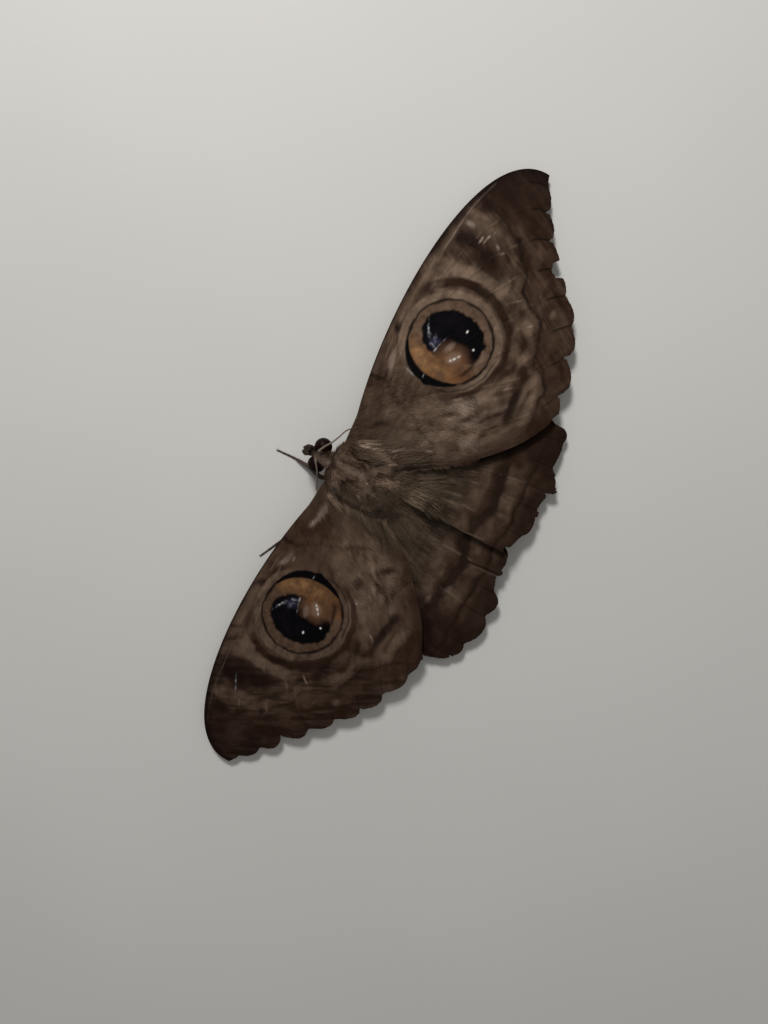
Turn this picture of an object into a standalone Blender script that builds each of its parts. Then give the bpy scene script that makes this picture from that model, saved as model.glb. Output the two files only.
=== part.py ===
"""A large owl moth at rest with its wings spread flat, in metres, +Z up.

The head faces -Y, the moth's left is +X and the feet stand on z = 0. The sizes
below are in millimetres, in a plan whose y = 0 lies just behind the wing roots,
and the parent empty moves that plan so that the origin is under its middle.
"""
import math

import bmesh
import bpy
import numpy as np

MM = 0.001
GAP = 0.3
PLAN_MIDDLE_Y = 3.032
SIDES = {"left": 1.0, "right": -1.0}

# Thorax: a broad superellipse in plan, wing roots at its widest height
THORAX_HALF_WIDTH = 5.0
THORAX_MIDDLE_Y = -3.6
THORAX_HALF_LENGTH = 7.0
THORAX_FRONT_Y = -10.35
THORAX_REAR_Y = 3.2
THORAX_CENTRE_Z = 4.8
THORAX_REAR_DROP = 0.8
REAR_DROP_FROM_Y = -1.0
REAR_DROP_LENGTH = 4.2
THORAX_RISE = 3.5
THORAX_SINK = 2.7
FRONT_SQUARENESS = 4.0
REAR_SQUARENESS = 2.8
SECTION_SQUARENESS = 2.3
THORAX_RINGS = 19
THORAX_SIDES = 28

# Abdomen: tapering rings behind the thorax, under the hindwings
ABDOMEN_FRONT_Y = THORAX_REAR_Y + GAP
ABDOMEN_END_Y = 20.2
ABDOMEN_FRONT_Z = 3.0
ABDOMEN_END_Z = 1.7
ABDOMEN_HALF_WIDTH = 2.35
ABDOMEN_HALF_HEIGHT = 1.95
ABDOMEN_TAPER = 0.45
ABDOMEN_END_ROUNDING = (0.9, 6.0)
ABDOMEN_SQUARENESS = 2.1
ABDOMEN_SIDES = 20
ABDOMEN_SEGMENTS = 7
SEGMENT_STEP = 0.06
SEGMENT_LAST_RING = 0.82

# Head: a narrow crown between two large eyes, turned a little to the left
HEAD_TURN = math.radians(5.0)
HEAD_SHIFT_X = 0.15
HEAD_REAR_Y = -10.7
HEAD_FRONT_Y = -13.65
HEAD_CENTRE_Z = 4.45
HEAD_HALF_WIDTH = 0.95
HEAD_HALF_HEIGHT = 1.8
NECK_HALF_WIDTH = 0.7
NECK_HEIGHT_SHARE = 0.82
NECK_WIDENING_END = 0.35
NECK_RISING_END = 0.4
FACE_ROUNDING = (3.2, 2.2)
HEAD_SQUARENESS = 2.4
HEAD_RINGS = 12
HEAD_SIDES = 24
EYE_RADIUS = 1.42
EYE_CENTRE = (1.5, -12.2, 4.5)
EYE_INNER_X = 0.95
EYE_SEGMENTS = (20, 14)

# Palps: two upturned brushes in front of the face
PALP_PATH = ((0.52, -12.95, 2.15), (0.54, -14.0, 2.55), (0.54, -14.45, 3.6),
             (0.53, -14.4, 4.7), (0.5, -14.25, 5.35))
PALP_RADII = (0.34, 0.4, 0.39, 0.38, 0.26)
PALP_SIDES = 12

# Feelers: over the eyes, then folded back under the wings
FEELER_ROOT = {"left": (0.78, -12.45, 6.66), "right": (-0.42, -12.5, 6.66)}
FEELER_PATH = ((1.5, -12.0, 6.72), (2.6, -11.3, 6.2), (3.9, -10.75, 5.3), (5.4, -10.1, 4.4),
               (6.8, -8.3, 3.8), (8.4, -4.5, 3.35), (9.9, 0.5, 2.95), (10.9, 6.0, 2.6), (11.3, 11.0, 2.3))
FEELER_ROOT_RADIUS = 0.27
FEELER_TIP_RADIUS = 0.2
LIMB_SIDES = 8
PATH_STEPS = 3

# Legs: hip, thigh bend, knee, shin, ankle and toe of each, toes on the floor
TARSUS_RADIUS = 0.26
LEG_RADII = (0.5, 0.55, 0.42, 0.38, 0.28, TARSUS_RADIUS, 0.2)
SOLE_HEIGHT = 0.03
LEG_PATHS = {
    "leg_front_left": ((1.7, -8.3, 1.85), (2.6, -9.2, 1.35), (3.55, -10.6, 2.1), (3.12, -13.2, 1.15),
                       (3.05, -15.2, 0.45), (3.06, -16.3, 0.24), (3.2, -19.1, 0.24)),
    "leg_front_right": ((-1.7, -8.3, 1.85), (-2.6, -9.0, 1.3), (-5.0, -9.4, 2.0), (-7.0, -8.9, 1.1),
                        (-8.1, -8.6, 0.45), (-9.0, -8.4, 0.24), (-11.2, -7.9, 0.24)),
    "leg_middle_left": ((2.4, -5.2, 1.75), (3.6, -5.7, 1.2), (9.6, -8.0, 1.9), (13.6, -10.2, 1.0),
                        (15.2, -11.0, 0.45), (16.2, -11.6, 0.24), (20.35, -13.65, 0.24)),
    "leg_middle_right": ((-2.4, -5.2, 1.75), (-3.6, -5.6, 1.2), (-9.4, -6.6, 1.9), (-13.2, -7.4, 1.0),
                         (-14.9, -7.8, 0.45), (-15.9, -8.1, 0.24), (-20.3, -9.2, 0.24)),
    "leg_hind_left": ((2.2, -1.2, 1.8), (3.2, -0.5, 1.2), (7.2, 3.6, 1.9), (9.3, 8.6, 0.95),
                      (10.0, 10.4, 0.42), (10.4, 11.4, 0.24), (12.2, 16.4, 0.24)),
    "leg_hind_right": ((-2.2, -1.2, 1.8), (-3.2, -0.5, 1.2), (-7.2, 3.6, 1.9), (-9.3, 8.6, 0.95),
                       (-10.0, 10.4, 0.42), (-10.4, 11.4, 0.24), (-12.2, 16.4, 0.24)),
}

# Wing sheet: its height over the floor falls from the roots to the tips
ROOT_HEIGHT = 5.2
TIP_DROP = 4.0
CAMBER = 0.2
FRONT_DROOP = 0.7
DROOP_FROM_Y = -4.0
DROOP_LENGTH = 8.0
DROOP_REACH = 1.1
REAR_SLOPE = 0.08
REAR_SLOPE_FROM_Y = 8.0
HALF_SPAN = 55.0
FORE_OVER_HIND = 1.35
DOME_OVER_ABDOMEN = 1.8
DOME_HALF_WIDTH = 2.6
DOME_FLATTENING = 0.75
OVERLAP_LIFT = 1.05
OVERLAP_RISE_LENGTH = 2.5

# Wing outlines in plan: corners, and the two handles of each cubic edge
APEX = (HALF_SPAN, -1.4)
TORNUS = (21.85, 17.75)
FORE_ROOT_Y = (-9.1, 1.0)
COSTA_HANDLES = ((25.0, -15.0), (55.9, -13.4))
FORE_MARGIN_HANDLES = ((46.0, 2.8), (37.5, 16.2))
FORE_TRAIL_HANDLES = ((7.5, 6.5), (14.0, 15.5))
HIND_CORNER = (22.0, 17.4)
HIND_INNER_ROOT_X = 0.2
HIND_INNER_END = (-0.4, 21.3)
HIND_ROOT_FRONT_Y = -1.0
HIND_COSTA_HANDLES = ((12.0, 2.0), (23.5, 9.5))
HIND_MARGIN_HANDLES = ((22.6, 23.6), (9.0, 25.6))
HIND_INNER_HANDLES = ((0.2, 9.0), (-0.5, 10.0))
SWEEP = {"fore": {"left": -0.012, "right": 0.012}, "hind": {"left": 0.02, "right": -0.02}}

# Wing margins, worn unevenly: each notch's share of the way along the edge and its offset
# from the smooth edge, then the offset of the lobe's crest before it
MARGINS = {
    "fore": {
        "left": ((0.06, 0.0, 0.05), (0.185, 0.25, 0.95), (0.31, -0.3, 1.15), (0.44, 0.0, 1.05),
                 (0.56, 0.2, 1.0), (0.675, 0.8, 1.35), (0.785, 0.4, 1.5), (0.905, 0.9, 1.5),
                 (1.0, 0.0, 1.05)),
        "right": ((0.06, -0.1, -0.1), (0.175, -0.4, 0.2), (0.3, -0.65, 0.0), (0.42, -0.6, -0.1),
                  (0.53, 0.0, 0.2), (0.645, 0.5, 1.0), (0.765, -0.2, 1.0), (0.905, -0.3, 0.95),
                  (1.0, 0.0, 0.5)),
    },
    "hind": {
        "left": ((0.14, 0.1, 0.0), (0.27, 0.9, 0.7), (0.395, 0.45, 1.1), (0.61, 0.4, 1.5),
                 (0.75, 0.1, 1.35), (0.85, -0.2, -0.3), (1.0, 0.0, 0.6)),
        "right": ((0.12, 0.1, 0.05), (0.28, 0.45, 1.15), (0.46, -0.9, -0.3), (0.605, 0.1, 0.9),
                  (0.72, -0.25, -0.3), (0.87, 0.2, 0.75), (1.0, 0.0, 0.0)),
    },
}
LOBE_SKEW = 1.5
LOBE_FULLNESS = 2.2

# Membrane, thickened at the root and the costa, with raised veins
MEMBRANE = 0.5
ROOT_THICKENING = 0.2
COSTA_THICKENING = 0.25
VEIN_RIDGE = 0.2
VEIN_RIDGE_BELOW = 0.12
VEIN_RISE_LENGTH = 0.08
CELL_END_SHARE = 0.8
ROOT_FADE = 0.1
MARGIN_FADE = 0.04
COSTA_FADE = 0.03
CELL_END = 0.46
FORE_VEIN_STARTS = (0.0, 0.0, CELL_END, CELL_END, CELL_END, 0.0, 0.3, 0.0)
FORE_CELL_VEINS = (1, 5)
HIND_VEIN_STARTS = (0.0, 0.4, 0.4, 0.4, 0.0, 0.0)
HIND_CELL_VEINS = (0, 4)
FORE_STATIONS = (0.0, 0.04, 0.12, 0.22, 0.33, 0.42, CELL_END, 0.5, 0.6, 0.7, 0.8, 0.88, 0.95, 1.0)
HIND_STATIONS = (0.0, 0.06, 0.16, 0.28, 0.36, 0.4, 0.44, 0.56, 0.7, 0.84, 0.94, 1.0)
LOBE_LINES = (0.12, 0.38, 0.63, 0.88, 1.0)

# Locks of long hair: flat, tapering, sunk into the thorax and laid back over the wing bases.
# Each tier runs from one root to the other, its headings turning outwards from straight back.
# A lock rests on the right hindwing up to RIGHT_OVER_LEFT_X, where that one covers the left
LOCK_WIDTH = 1.75
LOCK_THICKNESS = 0.5
LOCK_SINK = 0.75
LOCK_CLEARANCE = 0.34
LOCK_BEND = 0.1
LOCK_SHORTENING = 0.2
LOCK_STATIONS = (0.0, 0.3, 0.66, 1.0)
LOCK_TAPER = (0.75, 1.0, 0.85, 0.1)
LOCK_SLIMMING = (1.0, 1.0, 0.85, 0.3)
LOCK_VARIATION = 0.06
LOCK_SEED = 5
RIGHT_OVER_LEFT_X = 1.02
TRAILING_EDGE_CLEARANCE = 0.68
LOCK_TIERS = (
    {"count": 4, "roots": ((0.6, -0.7), (3.4, -1.4)), "headings": (0.08, 0.55), "length": 6.6, "lift": 0.85},
    {"count": 6, "roots": ((0.55, 1.1), (4.2, 0.1)), "headings": (0.06, 0.66), "length": 8.6, "lift": 0.0},
    {"count": 5, "roots": ((2.6, -8.0), (4.35, -6.0)), "headings": (0.12, 0.62), "length": 6.2, "lift": 0.6},
    {"count": 5, "roots": ((4.25, -5.0), (4.1, -0.8)), "headings": (0.95, 0.7), "length": 4.8, "lift": 0.0},
)

SMOOTH_ANGLE = math.radians(60.0)
WING_SMOOTH_ANGLE = math.radians(40.0)

FINISHES = {
    "scaled_body": ((0.082, 0.062, 0.046), 0.9),
    "scaled_wing": ((0.105, 0.078, 0.058), 0.85),
    "eye": ((0.012, 0.008, 0.006), 0.12),
    "palp": ((0.085, 0.066, 0.055), 0.9),
    "feeler": ((0.2, 0.155, 0.115), 0.7),
    "leg": ((0.12, 0.098, 0.08), 0.8),
}


def smoothstep(value):
    """Ease from 0 to 1 while the value goes from 0 to 1."""
    t = np.clip(value, 0.0, 1.0)
    return t*t*(3.0 - 2.0*t)


def cubic(corner_a, handles, corner_b, t):
    """Points of a cubic curve between two corners, drawn by its two handles."""
    a, b, c, d = (np.asarray(p, float) for p in (corner_a, handles[0], handles[1], corner_b))
    t = np.asarray(t, float)[..., None]
    return a*(1 - t)**3 + 3*b*t*(1 - t)**2 + 3*c*t**2*(1 - t) + d*t**3


def thorax_profile(y, half_length):
    """Share of the full width left at y: a superellipse, squarer in front than behind."""
    t = np.clip((np.asarray(y, float) - THORAX_MIDDLE_Y)/half_length, -1.0, 1.0)
    squareness = np.where(t < 0, FRONT_SQUARENESS, REAR_SQUARENESS)
    return (1.0 - np.abs(t)**squareness)**(1.0/squareness)


def thorax_centre_z(y):
    """Height of the thorax's axis, which sinks towards the abdomen."""
    behind = (np.asarray(y, float) - REAR_DROP_FROM_Y)/REAR_DROP_LENGTH
    return THORAX_CENTRE_Z - THORAX_REAR_DROP*smoothstep(behind)


def beside_thorax(y):
    """Plan point at y that keeps the gap from the thorax's side."""
    x = (THORAX_HALF_WIDTH + GAP)*thorax_profile(y, THORAX_HALF_LENGTH + GAP)
    return np.stack([x, np.asarray(y, float)], axis=-1)


def sheet_height(x, y):
    """Height of the forewing sheet: roots high, tips and front edge low."""
    out = np.clip((x - THORAX_HALF_WIDTH)/(HALF_SPAN - THORAX_HALF_WIDTH), 0.0, 1.0)
    front = np.clip((DROOP_FROM_Y - y)/DROOP_LENGTH, 0.0, 1.0)
    front = front*np.sin(math.pi*np.minimum(DROOP_REACH*out, 1.0))
    rear = np.maximum(y - REAR_SLOPE_FROM_Y, 0.0)
    return (ROOT_HEIGHT - TIP_DROP*out + CAMBER*np.sin(math.pi*out)
            - FRONT_DROOP*front - REAR_SLOPE*rear)


def hind_height(x, y, side):
    """Height of a hindwing: under the forewing, domed over the abdomen, right over left."""
    along = np.clip((y - ABDOMEN_FRONT_Y)/(HIND_INNER_END[1] - ABDOMEN_FRONT_Y), 0.0, 1.0)
    middle = np.exp(-(x/DOME_HALF_WIDTH)**2)
    dome = DOME_OVER_ABDOMEN*(1.0 - DOME_FLATTENING*along)*middle
    lift = np.zeros_like(x)
    if side == "right":
        lift = OVERLAP_LIFT*smoothstep((y - ABDOMEN_FRONT_Y)/OVERLAP_RISE_LENGTH)*middle
    return sheet_height(x, y) - FORE_OVER_HIND + dome + lift


def margin_offset(margin, t):
    """How far the margin stands out from its smooth curve: straight from notch to notch, with a
    lobe between them whose crest lies past its middle."""
    place, notch, crest = (np.array(column) for column in zip((0.0, 0.0, 0.0), *margin))
    lobe = np.clip(np.searchsorted(place, t, side="right"), 1, len(place) - 1)
    phase = np.clip((t - place[lobe - 1])/(place[lobe] - place[lobe - 1]), 0.0, 1.0)
    crest_phase = 0.5**(1.0/LOBE_SKEW)
    chord = notch[lobe - 1] + (notch[lobe] - notch[lobe - 1])*phase
    chord_at_crest = notch[lobe - 1] + (notch[lobe] - notch[lobe - 1])*crest_phase
    swell = 1.0 - np.abs(2.0*phase**LOBE_SKEW - 1.0)**LOBE_FULLNESS
    return chord + (crest[lobe] - chord_at_crest)*swell


def lobed(corner_a, handles, corner_b, t, margin):
    """Margin curve pushed outwards or worn back by its notches and lobes."""
    step = 1e-4
    base = cubic(corner_a, handles, corner_b, t)
    tangent = cubic(corner_a, handles, corner_b, t + step) - cubic(corner_a, handles, corner_b, t - step)
    outward = np.stack([tangent[..., 1], -tangent[..., 0]], axis=-1)
    outward /= np.linalg.norm(outward, axis=-1, keepdims=True)
    return base + outward*margin_offset(margin, t)[..., None]


def patch(front, rear, root, rim, u, v):
    """Plan point of a sheet spanned by four edge curves, each running across from its neighbour."""
    u2, v2 = u[..., None], v[..., None]
    zero, one = np.zeros_like(u), np.ones_like(u)
    sides = (1 - v2)*front(u) + v2*rear(u) + (1 - u2)*root(v) + u2*rim(v)
    corners = ((1 - u2)*(1 - v2)*root(zero) + u2*(1 - v2)*rim(zero)
               + (1 - u2)*v2*root(one) + u2*v2*rim(one))
    return sides - corners


def forewing_plan(u, v, side):
    """Forewing from root (u = 0) to margin (u = 1) and costa (v = 0) to trailing edge (v = 1)."""
    root_front, root_rear = beside_thorax(FORE_ROOT_Y[0]), beside_thorax(FORE_ROOT_Y[1])
    return patch(lambda t: cubic(root_front, COSTA_HANDLES, APEX, t),
                 lambda t: cubic(root_rear, FORE_TRAIL_HANDLES, TORNUS, t),
                 lambda t: beside_thorax(FORE_ROOT_Y[0] + (FORE_ROOT_Y[1] - FORE_ROOT_Y[0])*t),
                 lambda t: lobed(APEX, FORE_MARGIN_HANDLES, TORNUS, t, MARGINS["fore"][side]),
                 u, v)


def hind_root(t):
    """Root line of a hindwing: round the thorax's rear corner, then along its rear face."""
    width, length = THORAX_HALF_WIDTH + GAP, THORAX_HALF_LENGTH + GAP
    first = math.asin(((HIND_ROOT_FRONT_Y - THORAX_MIDDLE_Y)/length)**(REAR_SQUARENESS/2.0))
    last = math.acos((HIND_INNER_ROOT_X/width)**(REAR_SQUARENESS/2.0))
    angle = first + (last - first)*np.asarray(t, float)
    x = width*np.cos(angle)**(2.0/REAR_SQUARENESS)
    y = THORAX_MIDDLE_Y + length*np.sin(angle)**(2.0/REAR_SQUARENESS)
    return np.stack([x, np.minimum(y, ABDOMEN_FRONT_Y)], axis=-1)


def hindwing_plan(u, v, side):
    """Hindwing from root (u = 0) to margin (u = 1) and hidden costa (v = 0) to inner edge (v = 1)."""
    return patch(lambda t: cubic(hind_root(0.0), HIND_COSTA_HANDLES, HIND_CORNER, t),
                 lambda t: cubic(hind_root(1.0), HIND_INNER_HANDLES, HIND_INNER_END, t),
                 hind_root,
                 lambda t: lobed(HIND_CORNER, HIND_MARGIN_HANDLES, HIND_INNER_END, t,
                                 MARGINS["hind"][side]),
                 u, v)


def lobe_lines(notches):
    """Grid lines across a wing: one on each notch, where a vein ends, and four in each lobe."""
    lines = [0.0]
    for low, high in zip([0.0] + notches[:-1], notches):
        lines += [low + part*(high - low) for part in LOBE_LINES]
    return np.array(lines)


def vein_share(u, v, lines, starts, cell_veins):
    """How much of a vein's ridge stands at each grid point, on notch lines and the cell's end."""
    share = np.zeros_like(u)
    for line, start in zip(lines, starts):
        rise = smoothstep((u - start)/VEIN_RISE_LENGTH + (1.0 if start > 0 else 0.0))
        share = np.maximum(share, np.where(np.abs(v - line) < 1e-6, rise, 0.0))
    low, high = (lines[k] for k in cell_veins)
    cell_end = starts[cell_veins[0] + 1]
    across = (np.abs(u - cell_end) < 1e-6) & (v >= low - 1e-6) & (v <= high + 1e-6)
    return np.where(across, CELL_END_SHARE, share)


def wing_surfaces(pair, side):
    """Top and bottom grids of a wing, a membrane's thickness apart, veins raised on both."""
    fore = pair == "fore"
    notches = [notch[0] for notch in MARGINS[pair][side]]
    stations = FORE_STATIONS if fore else HIND_STATIONS
    u, v = np.meshgrid(np.array(stations), lobe_lines(notches), indexing="ij")
    plan = forewing_plan(u, v, side) if fore else hindwing_plan(u, v, side)
    x, y = plan[..., 0], plan[..., 1]
    middle = sheet_height(x, y) if fore else hind_height(x, y, side)
    starts = FORE_VEIN_STARTS if fore else HIND_VEIN_STARTS
    cell_veins = FORE_CELL_VEINS if fore else HIND_CELL_VEINS
    share = vein_share(u, v, notches[:-1], starts, cell_veins)
    share = share*smoothstep(u/ROOT_FADE)*smoothstep((1.0 - u)/MARGIN_FADE)
    thickening = ROOT_THICKENING*(1 - u)**4 + COSTA_THICKENING*np.exp(-v/COSTA_FADE)*(1 - u**4)
    half = 0.5*(MEMBRANE + thickening)
    y = y + SWEEP[pair][side]*x
    top = np.stack([SIDES[side]*x, y, middle + half + VEIN_RIDGE*share], axis=-1)
    bottom = np.stack([SIDES[side]*x, y, middle - half - VEIN_RIDGE_BELOW*share], axis=-1)
    return top, bottom


def sheet_solid(top, bottom):
    """Closed solid between two like grids, split along the same diagonals and walled at the rim."""
    rows, columns = top.shape[:2]
    index = np.arange(rows*columns).reshape(rows, columns)
    a, b = index[:-1, :-1], index[1:, :-1]
    c, d = index[1:, 1:], index[:-1, 1:]
    upper = np.concatenate([np.stack([a, b, c], -1).reshape(-1, 3), np.stack([a, c, d], -1).reshape(-1, 3)])
    lower = upper[:, ::-1] + rows*columns
    edge = np.concatenate([index[:, 0], index[-1, 1:], index[-2::-1, -1], index[0, -2:0:-1]])
    following = np.roll(edge, -1)
    under, following_under = edge + rows*columns, following + rows*columns
    wall = np.concatenate([np.stack([following, edge, under], -1),
                           np.stack([following, under, following_under], -1)])
    points = np.concatenate([top.reshape(-1, 3), bottom.reshape(-1, 3)])
    return points, np.concatenate([upper, lower, wall]).tolist()


def ring_solid(rings):
    """Closed solid through a row of like rings, with a fan at each end."""
    count, sides = rings.shape[:2]
    index = np.arange(count*sides).reshape(count, sides)
    beside = np.roll(index, -1, axis=1)
    walls = np.stack([index[:-1], beside[:-1], beside[1:], index[1:]], -1).reshape(-1, 4)
    first, last = count*sides, count*sides + 1
    start = [[int(j), int(i), first] for i, j in zip(index[0], beside[0])]
    end = [[int(i), int(j), last] for i, j in zip(index[-1], beside[-1])]
    points = np.concatenate([rings.reshape(-1, 3), rings[0].mean(0)[None], rings[-1].mean(0)[None]])
    return points, walls.tolist() + start + end


def section_rings(y, half_width, rise, sink, centre_z, squareness, sides):
    """Upright superellipse rings along y, with their own height above and below the axis."""
    angle = 2.0*math.pi*np.arange(sides)/sides
    across = np.sign(np.cos(angle))*np.abs(np.cos(angle))**(2.0/squareness)
    upward = np.sign(np.sin(angle))*np.abs(np.sin(angle))**(2.0/squareness)
    height = np.where(upward[None] > 0, rise[:, None], sink[:, None])*upward[None]
    return np.stack([half_width[:, None]*across[None], np.broadcast_to(y[:, None], height.shape),
                     centre_z[:, None] + height], axis=-1)


def swept_rings(path, radii, sides, steps):
    """Round rings along a smooth curve through the path's points, upright on its own plane."""
    points = np.array(path, float)
    radii = np.array(radii, float)
    ends = np.concatenate([[2*points[0] - points[1]], points, [2*points[-1] - points[-2]]])
    t = np.linspace(0.0, 1.0, steps, endpoint=False)[:, None]
    curve, width = [], []
    for k in range(len(points) - 1):
        p0, p1, p2, p3 = ends[k:k + 4]
        curve.append(0.5*(2*p1 + (p2 - p0)*t + (2*p0 - 5*p1 + 4*p2 - p3)*t**2
                          + (3*p1 - p0 - 3*p2 + p3)*t**3))
        width.append(radii[k] + (radii[k + 1] - radii[k])*t[:, 0])
    curve = np.concatenate(curve + [points[-1:]])
    width = np.concatenate(width + [radii[-1:]])
    tangent = np.gradient(curve, axis=0)
    tangent /= np.linalg.norm(tangent, axis=1, keepdims=True)
    reach = points[-1] - points[0]
    level = np.array([-reach[1], reach[0], 0.0])
    across = level - (tangent @ level)[:, None]*tangent
    across /= np.linalg.norm(across, axis=1, keepdims=True)
    upward = np.cross(across, tangent)
    angle = 2.0*math.pi*(np.arange(sides) + 0.5)/sides
    return (curve[:, None] + width[:, None, None]
            * (across[:, None]*np.cos(angle)[:, None] + upward[:, None]*np.sin(angle)[:, None]))


def make_finish(name, kind):
    """One material of its own for a node, from the finish of its kind."""
    colour, roughness = FINISHES[kind]
    material = bpy.data.materials.new(name + "_finish")
    material.use_nodes = True
    shader = material.node_tree.nodes["Principled BSDF"]
    shader.inputs["Base Color"].default_value = (*colour, 1.0)
    shader.inputs["Roughness"].default_value = roughness
    shader.inputs["Metallic"].default_value = 0.0
    return material


def add_solid(name, solid, parent, anchor, collection):
    """Put a closed solid into a collection as an object whose origin is its anchor."""
    points, faces = solid
    mesh = bpy.data.meshes.new(name)
    mesh.from_pydata(((np.asarray(points) - np.asarray(anchor))*MM).tolist(), [], faces)
    work = bmesh.new()
    work.from_mesh(mesh)
    bmesh.ops.recalc_face_normals(work, faces=work.faces)
    work.to_mesh(mesh)
    work.free()
    obj = bpy.data.objects.new(name, mesh)
    obj.location = np.asarray(anchor, float)*MM
    obj.parent = parent
    collection.objects.link(obj)
    return obj


def add_node(name, solid, kind, parent, anchor=(0.0, 0.0, 0.0), sharp=SMOOTH_ANGLE):
    """A named object for one part of the body, smooth apart from its sharp edges."""
    obj = add_solid(name, solid, parent, anchor, bpy.context.collection)
    obj.data.shade_smooth()
    obj.data.set_sharp_from_angle(angle=sharp)
    obj.data.materials.append(make_finish(name, kind))
    return obj


def keep_largest_surface(mesh):
    """Delete every closed surface of the mesh but the one with the most faces, and split what is left
    into triangles."""
    work = bmesh.new()
    work.from_mesh(mesh)
    left = set(work.faces)
    surfaces = []
    while left:
        front = {left.pop()}
        surface = set(front)
        while front:
            front = {near for face in front for edge in face.edges for near in edge.link_faces} - surface
            surface |= front
        left -= surface
        surfaces.append(surface)
    surfaces.sort(key=len)
    loose = [face for surface in surfaces[:-1] for face in surface]
    bmesh.ops.delete(work, geom=loose, context="FACES")
    bmesh.ops.triangulate(work, faces=work.faces)
    work.to_mesh(mesh)
    work.free()


def fuse(body, solids, anchor):
    """Join the closed solids rooted in a body to it by one union."""
    group = bpy.data.collections.new(body.name + "_locks")
    bpy.context.scene.collection.children.link(group)
    for number, solid in enumerate(solids):
        add_solid(f"{body.name}_lock_{number}", solid, body.parent, anchor, group)
    union = body.modifiers.new("locks", "BOOLEAN")
    union.operation = "UNION"
    union.solver = "MANIFOLD"
    union.operand_type = "COLLECTION"
    union.collection = group
    bpy.context.view_layer.update()
    graph = bpy.context.evaluated_depsgraph_get()
    fused = bpy.data.meshes.new_from_object(body.evaluated_get(graph))
    body.modifiers.remove(union)
    body.data = fused
    keep_largest_surface(fused)
    fused.shade_smooth()
    fused.set_sharp_from_angle(angle=SMOOTH_ANGLE)
    for lock in list(group.objects):
        bpy.data.objects.remove(lock, do_unlink=True)
    bpy.data.collections.remove(group)


def add_empty(name, location, parent=None, turn=0.0):
    """A pivot that carries other objects and is no solid itself."""
    empty = bpy.data.objects.new(name, None)
    empty.location = np.asarray(location, float)*MM
    empty.rotation_euler = (0.0, 0.0, turn)
    empty.parent = parent
    bpy.context.collection.objects.link(empty)
    return empty


def eye_ball(radius, inner_x, side):
    """Sphere about the eye's centre, its inner side cut flat at inner_x from the head's middle."""
    work = bmesh.new()
    bmesh.ops.create_uvsphere(work, u_segments=EYE_SEGMENTS[0], v_segments=EYE_SEGMENTS[1], radius=radius)
    points = np.array([vertex.co[:] for vertex in work.verts])
    faces = [[vertex.index for vertex in face.verts] for face in work.faces]
    work.free()
    points = points[:, [2, 0, 1]] + np.array(EYE_CENTRE)
    points[:, 0] = SIDES[side]*np.maximum(points[:, 0], inner_x)
    return points, faces


def make_head(parent, pivot):
    """Crown and face between the eyes, with a socket cut for each, then the eyes themselves."""
    forward = np.sin(0.5*math.pi*np.linspace(0.0, 1.0, HEAD_RINGS + 1)[:-1])
    y = HEAD_REAR_Y + (HEAD_FRONT_Y - HEAD_REAR_Y)*forward
    round_end = (1.0 - forward**FACE_ROUNDING[0])**(1.0/FACE_ROUNDING[1])
    widening = (HEAD_HALF_WIDTH - NECK_HALF_WIDTH)*smoothstep(forward/NECK_WIDENING_END)
    rising = (1.0 - NECK_HEIGHT_SHARE)*smoothstep(forward/NECK_RISING_END)
    half_width = (NECK_HALF_WIDTH + widening)*round_end
    half_height = HEAD_HALF_HEIGHT*(NECK_HEIGHT_SHARE + rising)*round_end
    rings = section_rings(y, half_width, half_height, half_height,
                          np.full(HEAD_RINGS, HEAD_CENTRE_Z), HEAD_SQUARENESS, HEAD_SIDES)
    head = add_node("head", ring_solid(rings - pivot), "scaled_body", parent)
    for side in SIDES:
        points, faces = eye_ball(EYE_RADIUS + GAP, EYE_INNER_X - GAP, side)
        socket = add_node("socket_cutter_" + side, (points - pivot, faces), "eye", parent)
        socket.hide_render = True
        socket.display_type = "WIRE"
        cut = head.modifiers.new("eye_socket_" + side, "BOOLEAN")
        cut.operation = "DIFFERENCE"
        cut.object = socket
        points, faces = eye_ball(EYE_RADIUS, EYE_INNER_X, side)
        add_node("eye_" + side, (points - pivot, faces), "eye", parent)


def make_palps(parent, pivot):
    """Two tapering brushes that bend up in front of the face."""
    for side, sign in SIDES.items():
        path = np.array(PALP_PATH)*np.array([sign, 1.0, 1.0]) - pivot
        rings = swept_rings(path, PALP_RADII, PALP_SIDES, PATH_STEPS)
        add_node("palp_" + side, ring_solid(rings), "palp", parent)


def make_feelers(parent):
    """A thread-like feeler each side, thinning from the crown to its hidden tip."""
    for side, sign in SIDES.items():
        path = [FEELER_ROOT[side]] + [(sign*x, y, z) for x, y, z in FEELER_PATH]
        radii = np.linspace(FEELER_ROOT_RADIUS, FEELER_TIP_RADIUS, len(path))
        anchor = np.array(FEELER_ROOT[side])
        rings = swept_rings(path, radii, LIMB_SIDES, PATH_STEPS)
        add_node("antenna_" + side, ring_solid(rings), "feeler", parent, anchor)


def thorax_top(x, y):
    """Height of the thorax's upper face over a plan point, its axis height beyond its edge."""
    share = np.maximum(thorax_profile(y, THORAX_HALF_LENGTH), 1e-6)
    across = np.clip(np.abs(x)/(THORAX_HALF_WIDTH*share), 0.0, 1.0)
    crown = (1.0 - across**SECTION_SQUARENESS)**(1.0/SECTION_SQUARENESS)
    return thorax_centre_z(y) + THORAX_RISE*share*crown


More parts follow.
